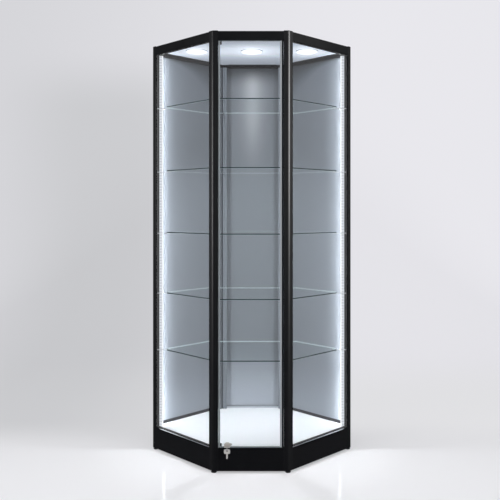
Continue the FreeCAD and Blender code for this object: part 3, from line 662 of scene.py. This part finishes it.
@dataclass(frozen=True, kw_only=True)
class LitCeiling(CoatedBoard):
    """The white ceiling board, with a painted glow of the soft light that spills round its lamps.
    """

    lamps: tuple[Point, ...]
    grain: float = 0.0  # a smooth laminate
    reach: float = 0.16
    spill: Colour = (0.66, 0.71, 0.79)

    def surface(self, tree: ShaderTree) -> Signal:
        """The board with its painted glow of spilt light.

        Args:
            tree: the material's tree.

        Returns:
            The ceiling.
        """
        share = sum(tree.near(lamp, self.reach) for lamp in self.lamps)
        return self.board(tree, {
            "Base Color": self.base(tree, self.colour, self.shade),
            **tree.glow(share, self.spill),
        })


@dataclass(frozen=True)
class Skirting(Finish):
    """Plastic skirting: bare silver where it faces forward, black on its other sides."""

    silver: Colour = (0.52, 0.55, 0.60)
    black: Colour = (0.010, 0.010, 0.013)
    forward: Span = (-0.86, -0.93)  # how far a silver face looks forward

    def surface(self, tree: ShaderTree) -> Signal:
        """Silver front and black sides.

        Args:
            tree: the material's tree.

        Returns:
            The skirting.
        """
        front = tree.facing(Axis.BACK).rise(*self.forward)
        scuff = tree.noise(Step.MOTTLE)
        return tree.solid({
            "Base Color": tree.blend(front - scuff * 0.08, self.black, self.silver),
            "Roughness": 0.34 + scuff * 0.12,
            "Specular IOR Level": 0.3,
        })


@dataclass(frozen=True)
class Brushed(Finish):
    """Bare metal with a fine grain that runs along one axis."""

    colour: Colour
    dull: Colour
    roughness: float = 0.42
    grain: Point = (1.0, 1.0, 0.02)
    depth: float = 0.00002
    metal: float = 1.0

    def lines(self, tree: ShaderTree) -> Signal:
        """The grain as a signal."""
        return tree.noise(Step.SPECKLE, 2.0, tree.stretched(self.grain))

    def surface(self, tree: ShaderTree) -> Signal:
        """Metal that is a little dull in places.

        Args:
            tree: the material's tree.

        Returns:
            The metal.
        """
        lines = self.lines(tree)
        cloud = tree.noise(Step.MOTTLE)
        return tree.solid({
            "Base Color": tree.blend(cloud * 0.6 + lines * 0.4, self.colour, self.dull),
            "Metallic": self.metal,
            "Roughness": self.roughness + lines * 0.1 + cloud * 0.05,
            "Normal": tree.bump(lines, self.depth),
        })


@dataclass(frozen=True, kw_only=True)
class Channel(Brushed):
    """Silver shelf channel: its wings are duller, with a dark line where each joins the slot."""

    joint_place: float  # distance of the joint from the middle
    colour: Colour = (0.27, 0.295, 0.33)
    dull: Colour = (0.155, 0.17, 0.19)
    metal: float = 0.3
    joint: Colour = (0.020, 0.024, 0.032)
    joint_half: float = 0.0022
    fade: float = 0.001

    def surface(self, tree: ShaderTree) -> Signal:
        """Channel, joint and wing, from the middle outwards.

        Args:
            tree: the material's tree.

        Returns:
            The anodised metal.
        """
        lines = self.lines(tree)
        from_middle = tree.along(Axis.ACROSS).size()
        beyond = from_middle.rise(self.joint_place, self.joint_place + self.fade)
        away = (from_middle - self.joint_place).size()
        gap = away.rise(self.joint_half, self.joint_half / 2)
        plain = tree.blend(beyond, self.colour, self.dull)
        return tree.solid({
            "Base Color": tree.blend(gap, plain, self.joint),
            "Metallic": self.metal,
            "Roughness": self.roughness + lines * 0.1,
            "Normal": tree.bump(lines, self.depth),
        })


@dataclass(frozen=True)
class ThinGlass(Finish):
    """A clear pane: light passes straight, gloss grows at a low angle and cut edges look green."""

    see_through: ClassVar[bool] = True

    tint: Colour = (0.982, 0.990, 0.993)
    edge: Colour = (0.002, 0.021, 0.023)
    # painted light of cut edges seen through the glass or along a shelf's lower arris: pale colour,
    # then glow
    far_edge: Colour = (0.50, 0.58, 0.62)
    edge_glow: Colour = BLACK
    lies_flat: bool = False  # a shelf, whose cut edges stand upright
    bottom: float = -1.0  # height of a shelf's lower face
    arris: Span = (0.0009, 0.0005)  # above it, where painted light in the glass shows
    gloss: float = 1.0

    def pane(self, tree: ShaderTree) -> Signal:
        """The large faces: clear, and glossy on the side that is met first.

        Args:
            tree: the material's tree.

        Returns:
            The pane's shader.
        """
        fresnel = tree.node("ShaderNodeFresnel", values={"IOR": 1.5})["Fac"]
        film = self.gloss + tree.noise(Step.CLOUD) * 0.06
        share = fresnel * (1.0 - tree.faces_away()) * film
        return tree.mix(share, tree.clear(self.tint), tree.sheen(0.02))

    def cut_edge(self, tree: ShaderTree) -> Signal:
        """The cut edges: dark green near by, and a painted pale colour with a painted glow where
        light comes through the glass.

        Args:
            tree: the material's tree.

        Returns:
            The edges' shader.
        """
        ripple = tree.noise(Step.MOTTLE)
        start, end = (self.bottom + rise for rise in self.arris)
        # painted light: edges seen through the glass, or along a shelf's lower arris
        lit = tree.faces_away().largest(tree.along(Axis.UP).rise(start, end))
        return tree.solid({
            "Base Color": tree.blend(lit.largest(ripple * 0.015), self.edge, self.far_edge),
            "Roughness": 0.22 + ripple * 0.1,
            "Coat Weight": lit * 0.4,
            "Specular IOR Level": 0.05,
            **tree.glow(lit, self.edge_glow),
        })

    def surface(self, tree: ShaderTree) -> Signal:
        """Pane and edges, told apart by the way they face.

        Args:
            tree: the material's tree.

        Returns:
            The glass.
        """
        level = tree.facing(Axis.UP).size() > 0.9
        cut = 1.0 - level if self.lies_flat else level
        return tree.mix(cut, self.pane(tree), self.cut_edge(tree))


@dataclass(frozen=True)
class LedCover(Finish):
    """The frosted LED cover: a bright line along its nose, and milky sides ribbed by the diodes."""

    nose: float  # distance of the cover's nose from the middle
    core: float = 0.0042
    blur: Span = (0.0015, -0.0010)
    pitch: float = 0.0139
    plastic: Colour = (0.12, 0.125, 0.13)
    shade: Colour = (0.10, 0.105, 0.11)
    milky: Colour = (0.66, 0.68, 0.72)
    between: Colour = (0.44, 0.46, 0.50)

    def surface(self, tree: ShaderTree) -> Signal:
        """Lit plastic.

        Args:
            tree: the material's tree.

        Returns:
            The cover.
        """
        cloud = tree.noise(Step.MOTTLE)
        wave = (tree.along(Axis.UP) * (2 * math.pi / self.pitch)).sine()
        sides = tree.blend(wave * 0.5 + 0.5, self.between, self.milky)
        start, end = (self.nose + self.core + blur for blur in self.blur)
        share = tree.along(Axis.ACROSS).size().rise(start, end)
        return tree.solid({
            "Base Color": tree.blend(cloud, self.plastic, self.shade),
            "Roughness": 0.45 + cloud * 0.1,
            "Emission Color": tree.blend(share, sides, WHITE),
            "Emission Strength": 1.0,
        })


@dataclass(frozen=True)
class LampGlass(Finish):
    """The frosted lens of a ceiling lamp, lit from behind and a little darker at its rim."""

    lamps: tuple[Point, ...]
    darkens: Span = (0.030, 0.047)  # distance from the lamp's axis
    frost: Colour = (0.8, 0.82, 0.85)
    shade: Colour = (0.72, 0.75, 0.8)
    rim: Colour = (0.74, 0.79, 0.86)
    strength: float = 1.5

    def surface(self, tree: ShaderTree) -> Signal:
        """Lit frosted glass.

        Args:
            tree: the material's tree.

        Returns:
            The lens.
        """
        cloud = tree.noise(Step.MOTTLE)
        away = tree.to_nearest(self.lamps).rise(*self.darkens)
        return tree.solid({
            "Base Color": tree.blend(cloud, self.frost, self.shade),
            "Roughness": 0.35 + cloud * 0.1,
            "Emission Color": tree.blend(away, WHITE, self.rim),
            "Emission Strength": self.strength,
        })


@dataclass(frozen=True)
class LampRing(Finish):
    """A lamp's steel ring, with a painted glow of the lens's light on it and painted shade where
    its rim turns to the sides.
    """

    lamps: tuple[Point, ...]
    rim: Span = (0.0515, 0.0540)  # distance from the lamp's axis
    sideways: Span = (0.3, 0.9)
    steel: Colour = (0.30, 0.31, 0.33)
    # painted shade colour of the outer rim, and colour of the painted glow from the lens
    dark: Colour = (0.06, 0.06, 0.07)
    lit: Colour = (0.86, 0.90, 0.96)

    def surface(self, tree: ShaderTree) -> Signal:
        """Steel with a painted glow and a painted dark rim.

        Args:
            tree: the material's tree.

        Returns:
            The ring.
        """
        cloud = tree.noise(Step.MOTTLE)
        outward = tree.to_nearest(self.lamps).rise(*self.rim)
        # painted shade: the painted glow is taken away where the rim turns to the sides
        unlit = outward * tree.facing(Axis.ACROSS).size().rise(*self.sideways) * 0.6
        return tree.solid({
            "Base Color": tree.blend(outward, self.steel, self.dark),
            "Metallic": 0.6,
            "Roughness": 0.3 + cloud * 0.08,
            "Emission Color": tree.blend(unlit, self.lit, BLACK),
            "Emission Strength": 1.0,
        })


@dataclass(frozen=True)
class ClearVinyl(Finish):
    """A soft clear seal, slightly milky."""

    see_through: ClassVar[bool] = True

    colour: Colour = (0.30, 0.33, 0.35)
    pale: Colour = (0.38, 0.41, 0.43)
    tint: Colour = (0.95, 0.97, 0.98)
    body: float = 0.55

    def surface(self, tree: ShaderTree) -> Signal:
        """Clear and milky vinyl, mixed.

        Args:
            tree: the material's tree.

        Returns:
            The seal.
        """
        cloud = tree.noise(Step.MOTTLE)
        flesh = tree.solid({
            "Base Color": tree.blend(cloud, self.colour, self.pale),
            "Roughness": 0.18 + cloud * 0.1,
            "Coat Weight": 0.5,
        })
        return tree.mix(self.body + cloud * 0.1, tree.clear(self.tint), flesh)


@dataclass(frozen=True)
class Ground(Finish):
    """The studio sweep: pale where it is seen, with painted shade and a painted soft shadow on its
    left side.
    """

    near: Colour = (0.90, 0.90, 0.925)
    # painted shade: the floor is darker further back
    far: Colour = (0.80, 0.80, 0.82)
    wall: Colour = (0.83, 0.825, 0.865)
    # painted shade: the wall is darker towards the left
    wall_left: Colour = (0.69, 0.69, 0.72)
    # painted soft shadow on the left, behind the cabinet; shade_left, shade_right, shade_top and
    # shade_depth place it
    shade: Colour = (0.60, 0.605, 0.625)
    room: Colour = (0.80, 0.80, 0.83)
    shown: float = 0.45  # share that is seen without its lighting, on the floor
    shown_wall: float = 0.85
    gloss: float = 0.035
    far_from: Span = (-0.1, 0.5)  # along the floor, from near to far
    wall_from: Span = (0.8, 2.4)
    wall_across: Span = (-2.6, 1.2)
    shade_left: Span = (-2.7, -1.6)
    shade_right: Span = (0.3, -1.3)
    shade_top: Span = (2.75, 2.1)
    shade_depth: float = 0.85
    behind_from: Span = (0.0, 0.5)  # where the floor passes behind the cabinet
    sides_from: Span = (2.8, 4.6)  # where the sweep fades into the room
    front_from: Span = (-2.0, -4.2)
    distant: Span = (1.7, 4.0)
    distant_share: float = 0.95

    def paint(self, tree: ShaderTree, behind: Signal) -> Signal:
        """The colour of the paper, with its painted shade and painted shadow.

        Args:
            tree: the material's tree.
            behind: one behind the cabinet.

        Returns:
            The colour as a signal.
        """
        back = tree.along(Axis.BACK)
        across = tree.along(Axis.ACROSS)
        colour = tree.blend(back.rise(*self.far_from), self.near, self.far)
        wall = tree.blend(across.rise(*self.wall_across), self.wall_left, self.wall)
        colour = tree.blend(back.rise(*self.wall_from), colour, wall)
        # painted soft shadow on the left side
        beside = across.rise(*self.shade_left) * across.rise(*self.shade_right)
        low = tree.along(Axis.UP).rise(*self.shade_top)
        return tree.blend(beside * low * behind * self.shade_depth, colour, self.shade)

    def surface(self, tree: ShaderTree) -> Signal:
        """Paper that fades into the room and is open from behind.

        Args:
            tree: the material's tree.

        Returns:
            The sweep.
        """
        back = tree.along(Axis.BACK)
        sides = tree.along(Axis.ACROSS).size().rise(*self.sides_from)
        away = sides.largest(back.rise(*self.front_from))
        behind = back.rise(*self.behind_from)
        colour = self.paint(tree, behind)
        plain = tree.node("ShaderNodeBsdfDiffuse", values={"Color": colour})["BSDF"]
        seen = {"Color": tree.blend(away, colour, self.room)}
        lit = tree.node("ShaderNodeEmission", values=seen)["Emission"]
        share = self.shown + behind * (self.shown_wall - self.shown)
        middle = tree.distance(tree.place(), (0.0, 0.0, 0.0)).rise(*self.distant)
        share = share.largest(middle * self.distant_share).largest(away)
        paper = tree.mix(tree.shown_directly() * share, plain, lit)
        sheet = tree.mix((1.0 - behind) * self.gloss, paper, tree.sheen(0.1))
        return tree.mix(tree.faces_away(), sheet, tree.clear(WHITE))


def lamp_places() -> tuple[Point, ...]:
    """Centres of the three lamp lenses, from the box round them.

    Returns:
        The points, from left to right.
    """
    low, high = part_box("lamp_lenses")
    radius = (high.y - low.y) / 2
    outer = high.x - radius
    return tuple((x, (low.y + high.y) / 2, low.z) for x in (-outer, 0.0, outer))


def points_of(name: str) -> list[Vector]:
    """The corner points of a construction piece."""
    return [vertex.co for vertex in frame["nodes"][name].data.vertices]


def inner_edge(name: str) -> float:
    """Distance from the middle plane to the nearest points of a piece on both sides of it."""
    return min(abs(point.x) for point in points_of(name))


class Palette:
    """All finishes of the cabinet, made once and named after the record's slots where they can."""

    def __init__(self) -> None:
        """Make each material."""
        lamps = lamp_places()
        nose = inner_edge("led_diffusers")
        self.black_frame = PowderCoat().make("black_frame_coat")
        self.post = PostCoat().make("post_coat")
        self.edged_rail = self._edged_rail()
        self.stile = StileCoat(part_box("hinge_stile")[1].x).make("stile_coat")
        self.black_sheet = PowderCoat(roughness=0.42).make("black_sheet_coat")
        self.black_plastic = MouldedNylon().make("black_nylon")
        self.black_rubber = MouldedNylon(
            colour=(0.010, 0.010, 0.010), roughness=0.72
        ).make("black_gasket_rubber")
        self.white_board = CoatedBoard(
            (0.84, 0.85, 0.87), (0.80, 0.81, 0.83), 0.32
        ).make("white_laminate")
        self.ceiling = LitCeiling(
            (0.62, 0.65, 0.72), (0.59, 0.62, 0.69), lamps=lamps
        ).make("ceiling_laminate")
        self.skirting = Skirting().make("skirting")
        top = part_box("rear_panel")[1].z
        self.grey_panel = BackPanel(
            (0.222, 0.241, 0.268), (0.207, 0.224, 0.250), top=top, led=nose
        ).make("grey_panel_coat")
        # rear panel with a painted lamp glow and stronger painted deck light
        self.rear_panel = BackPanel(
            (0.205, 0.221, 0.245), (0.190, 0.206, 0.228), top=top, led=nose,
            glow_share=0.29, reach=0.12, deck_gain=1.1, deck_reach=0.36,
        ).make("rear_panel_coat")
        self.clear_glass = ThinGlass().make("pane_glass")
        self.shelves = {name: self._shelf(name) for name in Shelving.shelves}
        self.silver_aluminium = self._channel()
        self.bright_steel = Brushed(
            (0.80, 0.80, 0.81), (0.68, 0.68, 0.70), 0.18, (1.0, 1.0, 1.0)
        ).make("bright_plate")
        self.frosted_diffuser = LedCover(nose).make("led_cover_frost")
        self.lamp_lens = LampGlass(lamps).make("lamp_lens_frost")
        self.lamp_ring = LampRing(lamps).make("lamp_ring_steel")
        self.white_plastic = CoatedBoard(
            (0.74, 0.74, 0.73), (0.68, 0.68, 0.67), 0.5
        ).make("white_abs")
        self.clear_seal = ClearVinyl().make("clear_vinyl")
        self.nickel = Brushed(
            (0.74, 0.70, 0.65), (0.52, 0.49, 0.45), 0.24, (1.0, 1.0, 1.0)
        ).make("nickel_plate")
        self.key_steel = Brushed(
            (0.62, 0.60, 0.575), (0.42, 0.41, 0.395), 0.26, (0.2, 1.0, 1.0)
        ).make("key_plate")
        self.highlit = (self.black_frame, self.post, self.edged_rail)
        self.casts_no_shade = (self.clear_glass, self.clear_seal, *self.shelves.values())

    @staticmethod
    def _edged_rail() -> bpy.types.Material:
        """The coat of the rails under the side panes, with its painted highlight line fitted to one
        of them.

        Returns:
            The material.
        """
        points = points_of("front_right_bottom_rail")
        outer = max((abs(point.x) - point.y) * math.sqrt(0.5) for point in points)
        return RailCoatWithPaintedHighlight(max(point.z for point in points), outer).make("painted_highlight_rail_coat")

    @staticmethod
    def _channel(slot_width: float = 0.0205) -> bpy.types.Material:
        """The shelf channels' metal, with the joint a slot's width beyond the inner edge.

        Args:
            slot_width: from the channels' inner edge to the joint.

        Returns:
            The material.
        """
        joint_place = inner_edge("shelf_channels") + slot_width
        return Channel(joint_place=joint_place).make("channel_silver")

    @staticmethod
    def _shelf(name: str) -> bpy.types.Material:
        """The glass of one shelf, with painted light along its lower arris.

        Args:
            name: the shelf's node.

        Returns:
            The material.
        """
        return ThinGlass(
            tint=(0.972, 0.99, 0.987), gloss=1.1, far_edge=(0.46, 0.54, 0.57),
            edge_glow=(0.15, 0.175, 0.18), lies_flat=True, bottom=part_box(name)[0].z,
        ).make(f"{name}_glass")


# ---- objects ----
def link_object(name: str, data: bpy.types.ID) -> bpy.types.Object:
    """Put a mesh, lamp or camera in the scene.

    Args:
        name: the object's name.
        data: what it shows.

    Returns:
        The new object.
    """
    thing = bpy.data.objects.new(name, data)
    bpy.context.scene.collection.objects.link(thing)
    LOG.info("%s added", name)
    return thing


def smooth_piece(
    name: str, work: bmesh.types.BMesh, material: bpy.types.Material
) -> bpy.types.Object:
    """Turn mesh work into a smoothly shaded object.

    Args:
        name: the piece's name.
        work: the finished mesh work, which is freed.
        material: the piece's finish.

    Returns:
        The new object.
    """
    mesh = bpy.data.meshes.new(name)
    for face in work.faces:
        face.smooth = True
    work.to_mesh(mesh)
    work.free()
    mesh.materials.append(material)
    return link_object(name, mesh)


def area_lamp(
    name: str, shape: LampShape, size: tuple[float, float], watts: float, colour: Colour = WHITE
) -> bpy.types.Object:
    """An area lamp that the camera doesn't see.

    Args:
        name: the lamp's name.
        shape: its outline.
        size: width and height; a round lamp has only the first.
        watts: power.
        colour: colour of its light.

    Returns:
        The lamp, facing down.
    """
    data = bpy.data.lights.new(name, "AREA")
    data.shape = shape.value
    data.size = size[0]
    if shape is LampShape.LONG:
        data.size_y = size[1]
    data.energy = watts
    data.color = colour
    lamp = link_object(name, data)
    lamp.visible_camera = False
    return lamp


# ---- sub-assemblies ----
@dataclass
class SubAssembly:
    """Construction pieces that are fitted together, and the finish of each."""

    palette: Palette
    nodes: ClassVar[Names]
    own_finish: ClassVar[dict[str, str]] = {}

    def finish_of(self, name: str) -> bpy.types.Material:
        """The piece's own finish, or the one of its slot in the record."""
        return getattr(self.palette, self.own_finish.get(name, SLOTS[name]))

    def dress(self) -> None:
        """Give every piece its finish."""
        for name in self.nodes:
            node = frame["nodes"][name]
            material = self.finish_of(name)
            for slot in node.material_slots:
                slot.material = material
            node.visible_shadow = material not in self.palette.casts_no_shade
            LOG.info("%s: %s dressed with %s", type(self).__name__, name, material.name)

    def build(self) -> None:
        """Dress the pieces; a sub-assembly with more to it adds that."""
        self.dress()


@dataclass
class Framework(SubAssembly):
    """Posts, rails, caps and feet."""

    corners: ClassVar[Names] = (
        "front_left", "front_right", "outer_left", "outer_right", "rear_left", "rear_right",
    )
    sides: ClassVar[Names] = (
        "front", "front_left", "front_right", "rear", "rear_left", "rear_right",
    )
    nodes: ClassVar[Names] = (
        *(f"{corner}_{part}" for corner in corners for part in ("post", "foot")),
        *(f"{side}_{part}_rail" for side in sides for part in ("top", "bottom")),
        "post_caps",
    )
    own_finish: ClassVar[dict[str, str]] = {
        "front_left_post": "post",
        "front_right_post": "post",
        "outer_left_post": "post",
        "outer_right_post": "post",
        "front_left_bottom_rail": "edged_rail",
        "front_right_bottom_rail": "edged_rail",
    }


@dataclass
class Enclosure(SubAssembly):
    """Deck, ceiling, roof, side panes and rear panels, with their rubber and skirting."""

    nodes: ClassVar[Names] = (
        "deck", "ceiling", "roof", "front_left_glass", "front_right_glass",
        "rear_left_panel", "rear_right_panel", "rear_panel", "glass_gaskets", "deck_beads",
    )
    own_finish: ClassVar[dict[str, str]] = {
        "ceiling": "ceiling",
        "rear_panel": "rear_panel",
        "deck_beads": "skirting",
    }


@dataclass
class Shelving(SubAssembly):
    """Glass shelves with the channels, brackets and supports that carry them."""

    shelves: ClassVar[Names] = tuple(f"shelf_{number}" for number in range(1, 6))
    nodes: ClassVar[Names] = (
        "shelf_channels", "shelf_brackets", "shelf_supports", *shelves,
    )

    def finish_of(self, name: str) -> bpy.types.Material:
        """A shelf's own glass, or the finish of another piece."""
        return self.palette.shelves.get(name) or super().finish_of(name)


@dataclass
class Door(SubAssembly):
    """Door glass with its hinge stile, closing seal, bushes and stops."""

    nodes: ClassVar[Names] = (
        "door_glass", "hinge_stile", "door_edge_seal", "hinge_bushes", "door_stops",
    )
    own_finish: ClassVar[dict[str, str]] = {"hinge_stile": "stile"}


@dataclass
class Lock(SubAssembly):
    """Lock, key and spare key, with the round wire ring between the two keys."""

    nodes: ClassVar[Names] = (
        "lock_case", "lock_barrel", "key", "key_ring", "spare_key",
    )
    wire: float = 0.0008  # half the wire's thickness
    ring_steps: int = 64
    wire_steps: int = 14

    def ring_points(self, work: bmesh.types.BMesh, turn: float) -> list[bmesh.types.BMVert]:
        """The wire's section at one angle round the ring, which stands across X.

        Args:
            work: mesh to add to.
            turn: angle in radians.

        Returns:
            The section's corners.
        """
        low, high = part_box("key_ring")
        radius = (high.z - low.z) / 2 - self.wire
        out = Vector((0.0, -math.sin(turn), math.cos(turn)))
        corners = []
        for step in range(self.wire_steps):
            angle = 2 * math.pi * step / self.wire_steps
            reach = out * (radius + self.wire * math.cos(angle))
            aside = Vector((self.wire * math.sin(angle), 0.0, 0.0))
            corners.append(work.verts.new((low + high) / 2 + reach + aside))
        return corners

    def make_ring(self) -> None:
        """A smooth ring in place of the plain one."""
        work = bmesh.new()
        rings = [
            self.ring_points(work, 2 * math.pi * step / self.ring_steps)
            for step in range(self.ring_steps)
        ]
        for ring, following in zip(rings, rings[1:] + rings[:1]):
            for index in range(self.wire_steps):
                after = (index + 1) % self.wire_steps
                work.faces.new((ring[index], following[index], following[after], ring[after]))
        bmesh.ops.recalc_face_normals(work, faces=work.faces)
        piece = smooth_piece("round_key_ring", work, self.palette.key_steel)
        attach(piece, "ring")
        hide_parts("key_ring")

    def build(self) -> None:
        """Dress the pieces and make the ring."""
        self.dress()
        self.make_ring()


@dataclass
class Lighting(SubAssembly):
    """Ceiling lamps and LED lines, and the light that they throw into the cabinet."""

    nodes: ClassVar[Names] = (
        "led_housings", "led_diffusers", "lamp_bodies", "lamp_rings", "lamp_lenses",
        "led_driver", "cable_inlet",
    )
    own_finish: ClassVar[dict[str, str]] = {
        "lamp_rings": "lamp_ring",
        "lamp_lenses": "lamp_lens",
    }
    lamp_watts: tuple[float, float, float] = (0.42, 1.75, 0.42)
    lamp_spread: tuple[float, float, float] = (30.0, 70.0, 30.0)
    led_watts: float = 2.55
    led_width: float = 0.010
    led_turn: float = 17.0  # degrees towards the rear panels
    glare_watts: float = 0.6
    glare_width: float = 0.004
    clear: float = 0.003  # gap between a lamp and the piece that it stands for
    colour: Colour = (0.93, 0.965, 1.0)

    def make_lamp_beams(self) -> None:
        """A downward light under each lens."""
        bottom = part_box("lamp_rings")[0].z - self.clear
        low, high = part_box("lamp_lenses")
        for count, (x, y, _) in enumerate(lamp_places()):
            lamp = area_lamp(
                f"lamp_beam_{count + 1}", LampShape.ROUND, (high.y - low.y, 0.0),
                self.lamp_watts[count], self.colour,
            )
            lamp.location = (x, y, bottom)
            lamp.visible_glossy = False
            lamp.data.spread = math.radians(self.lamp_spread[count])

    def make_led_lines(self) -> None:
        """On each side a line that lights the shelves, and a glare that only gloss shows."""
        low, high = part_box("led_diffusers")
        middle = (low + high) / 2
        tall = high.z - low.z
        for side, sign in (("left", -1), ("right", 1)):
            across = sign * (inner_edge("led_diffusers") - self.clear)
            size = (self.led_width, tall)
            name = f"led_line_{side}"
            line = area_lamp(name, LampShape.LONG, size, self.led_watts, self.colour)
            line.location = (across, middle.y, middle.z)
            line.rotation_euler = (math.pi / 2, 0.0, sign * math.radians(self.led_turn))
            size = (self.glare_width, tall)
            name = f"led_glare_{side}"
            glare = area_lamp(name, LampShape.LONG, size, self.glare_watts, self.colour)
            glare.location = (across, low.y - self.clear, middle.z)
            glare.rotation_euler = (-math.pi / 2, 0.0, 0.0)
            glare.visible_diffuse = False

    def build(self) -> None:
        """Dress the pieces and add their light."""
        self.dress()
        self.make_lamp_beams()
        self.make_led_lines()


# ---- studio ----
@dataclass(frozen=True)
class StudioLamp:
    """One rectangular lamp of the studio."""

    name: str
    place: Point
    size: tuple[float, float]
    watts: float
    role: Role
    target: Point = (0.0, 0.0, 1.0)

    def make(self, coated: Sequence[bpy.types.Object]) -> None:
        """Hang the lamp.

        Args:
            coated: the black pieces, which a highlight lamp reaches alone.
        """
        lamp = area_lamp(self.name, LampShape.LONG, self.size, self.watts)
        lamp.location = self.place
        towards = Vector(self.target) - Vector(self.place)
        lamp.rotation_euler = towards.to_track_quat("-Z", "Y").to_euler()
        if self.role is Role.FILL:
            lamp.visible_glossy = False
            return
        lamp.visible_diffuse = False
        reached = bpy.data.collections.new(f"{self.name}_reaches")
        for piece in coated:
            reached.objects.link(piece)
        lamp.light_linking.receiver_collection = reached


@dataclass
class Studio:
    """Floor, backdrop, lamps, world and camera."""

    coated: Sequence[bpy.types.Object]
    lamps: tuple[StudioLamp, ...] = (
        StudioLamp("box_left", (-2.6, -1.9, 1.5), (0.8, 2.6), 34.0, Role.FILL),
        StudioLamp("box_right", (2.7, -1.8, 1.5), (0.7, 2.6), 26.0, Role.FILL),
        StudioLamp("overhead", (0.0, -0.6, 3.6), (3.2, 2.4), 60.0, Role.FILL, (0.0, 0.2, 0.0)),
        StudioLamp("strip_left", (-2.7, -1.75, 1.5), (0.9, 1.6), 1200.0, Role.HIGHLIGHT),
        StudioLamp("strip_right", (2.55, -2.15, 2.0), (1.2, 1.7), 4100.0, Role.HIGHLIGHT),
    )
    floor_reach: float = 8.0
    wall_back: float = 3.2
    wall_height: float = 6.0
    sweep: float = 1.2  # radius between floor and wall
    sweep_steps: int = 12
    lens: float = 50.0
    sensor: float = 36.0
    eye: Point = (0.0436, -3.4065, 1.179)
    shift: tuple[float, float] = (-0.0213, -0.0811)
    world_light: float = 0.22

    def make_floor(self) -> None:
        """A floor that sweeps up into the backdrop."""
        start = self.wall_back - self.sweep
        path = [(-self.floor_reach, 0.0), (start, 0.0)]
        for step in range(1, self.sweep_steps + 1):
            angle = math.pi / 2 * step / self.sweep_steps
            rise = self.sweep - self.sweep * math.cos(angle)
            path.append((start + self.sweep * math.sin(angle), rise))
        path.append((self.wall_back, self.wall_height))
        work = bmesh.new()
        left, right = (
            [work.verts.new((x, y, z)) for y, z in path]
            for x in (-self.floor_reach, self.floor_reach)
        )
        for index in range(len(path) - 1):
            work.faces.new((left[index], right[index], right[index + 1], left[index + 1]))
        smooth_piece("studio_sweep", work, Ground().make("studio_paper"))

    def make_world(self) -> None:
        """An even room: dim as light, and pale where it is seen."""
        tree = WorldTree("studio_room")
        room = tree.background(WHITE, self.world_light)
        pale = tree.background(Ground.room, 1.0)
        bpy.context.scene.world = tree.finish(tree.mix(tree.shown_directly(), room, pale))

    def make_camera(self) -> None:
        """A level camera in front of the door, a little above half height."""
        data = bpy.data.cameras.new("front_view")
        data.lens = self.lens
        data.sensor_width = self.sensor
        data.sensor_fit = "HORIZONTAL"
        data.shift_x, data.shift_y = self.shift
        camera = link_object("front_view", data)
        camera.location = self.eye
        camera.rotation_euler = (math.pi / 2, 0.0, 0.0)
        bpy.context.scene.camera = camera

    def build(self) -> None:
        """Build all of the studio."""
        self.make_floor()
        self.make_world()
        for lamp in self.lamps:
            lamp.make(self.coated)
        self.make_camera()
        bpy.context.scene.view_settings.view_transform = "Standard"


def main() -> None:
    """Dress the cabinet and build what stands round it."""
    logging.basicConfig(level=logging.INFO, format="%(name)s: %(message)s")
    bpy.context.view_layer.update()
    palette = Palette()
    for assembly in (Framework, Enclosure, Shelving, Door, Lock, Lighting):
        assembly(palette).build()
    Studio([
        node for node in frame["nodes"].values()
        if any(slot.material in palette.highlit for slot in node.material_slots)
    ]).build()


if __name__ == "__main__":
    main()
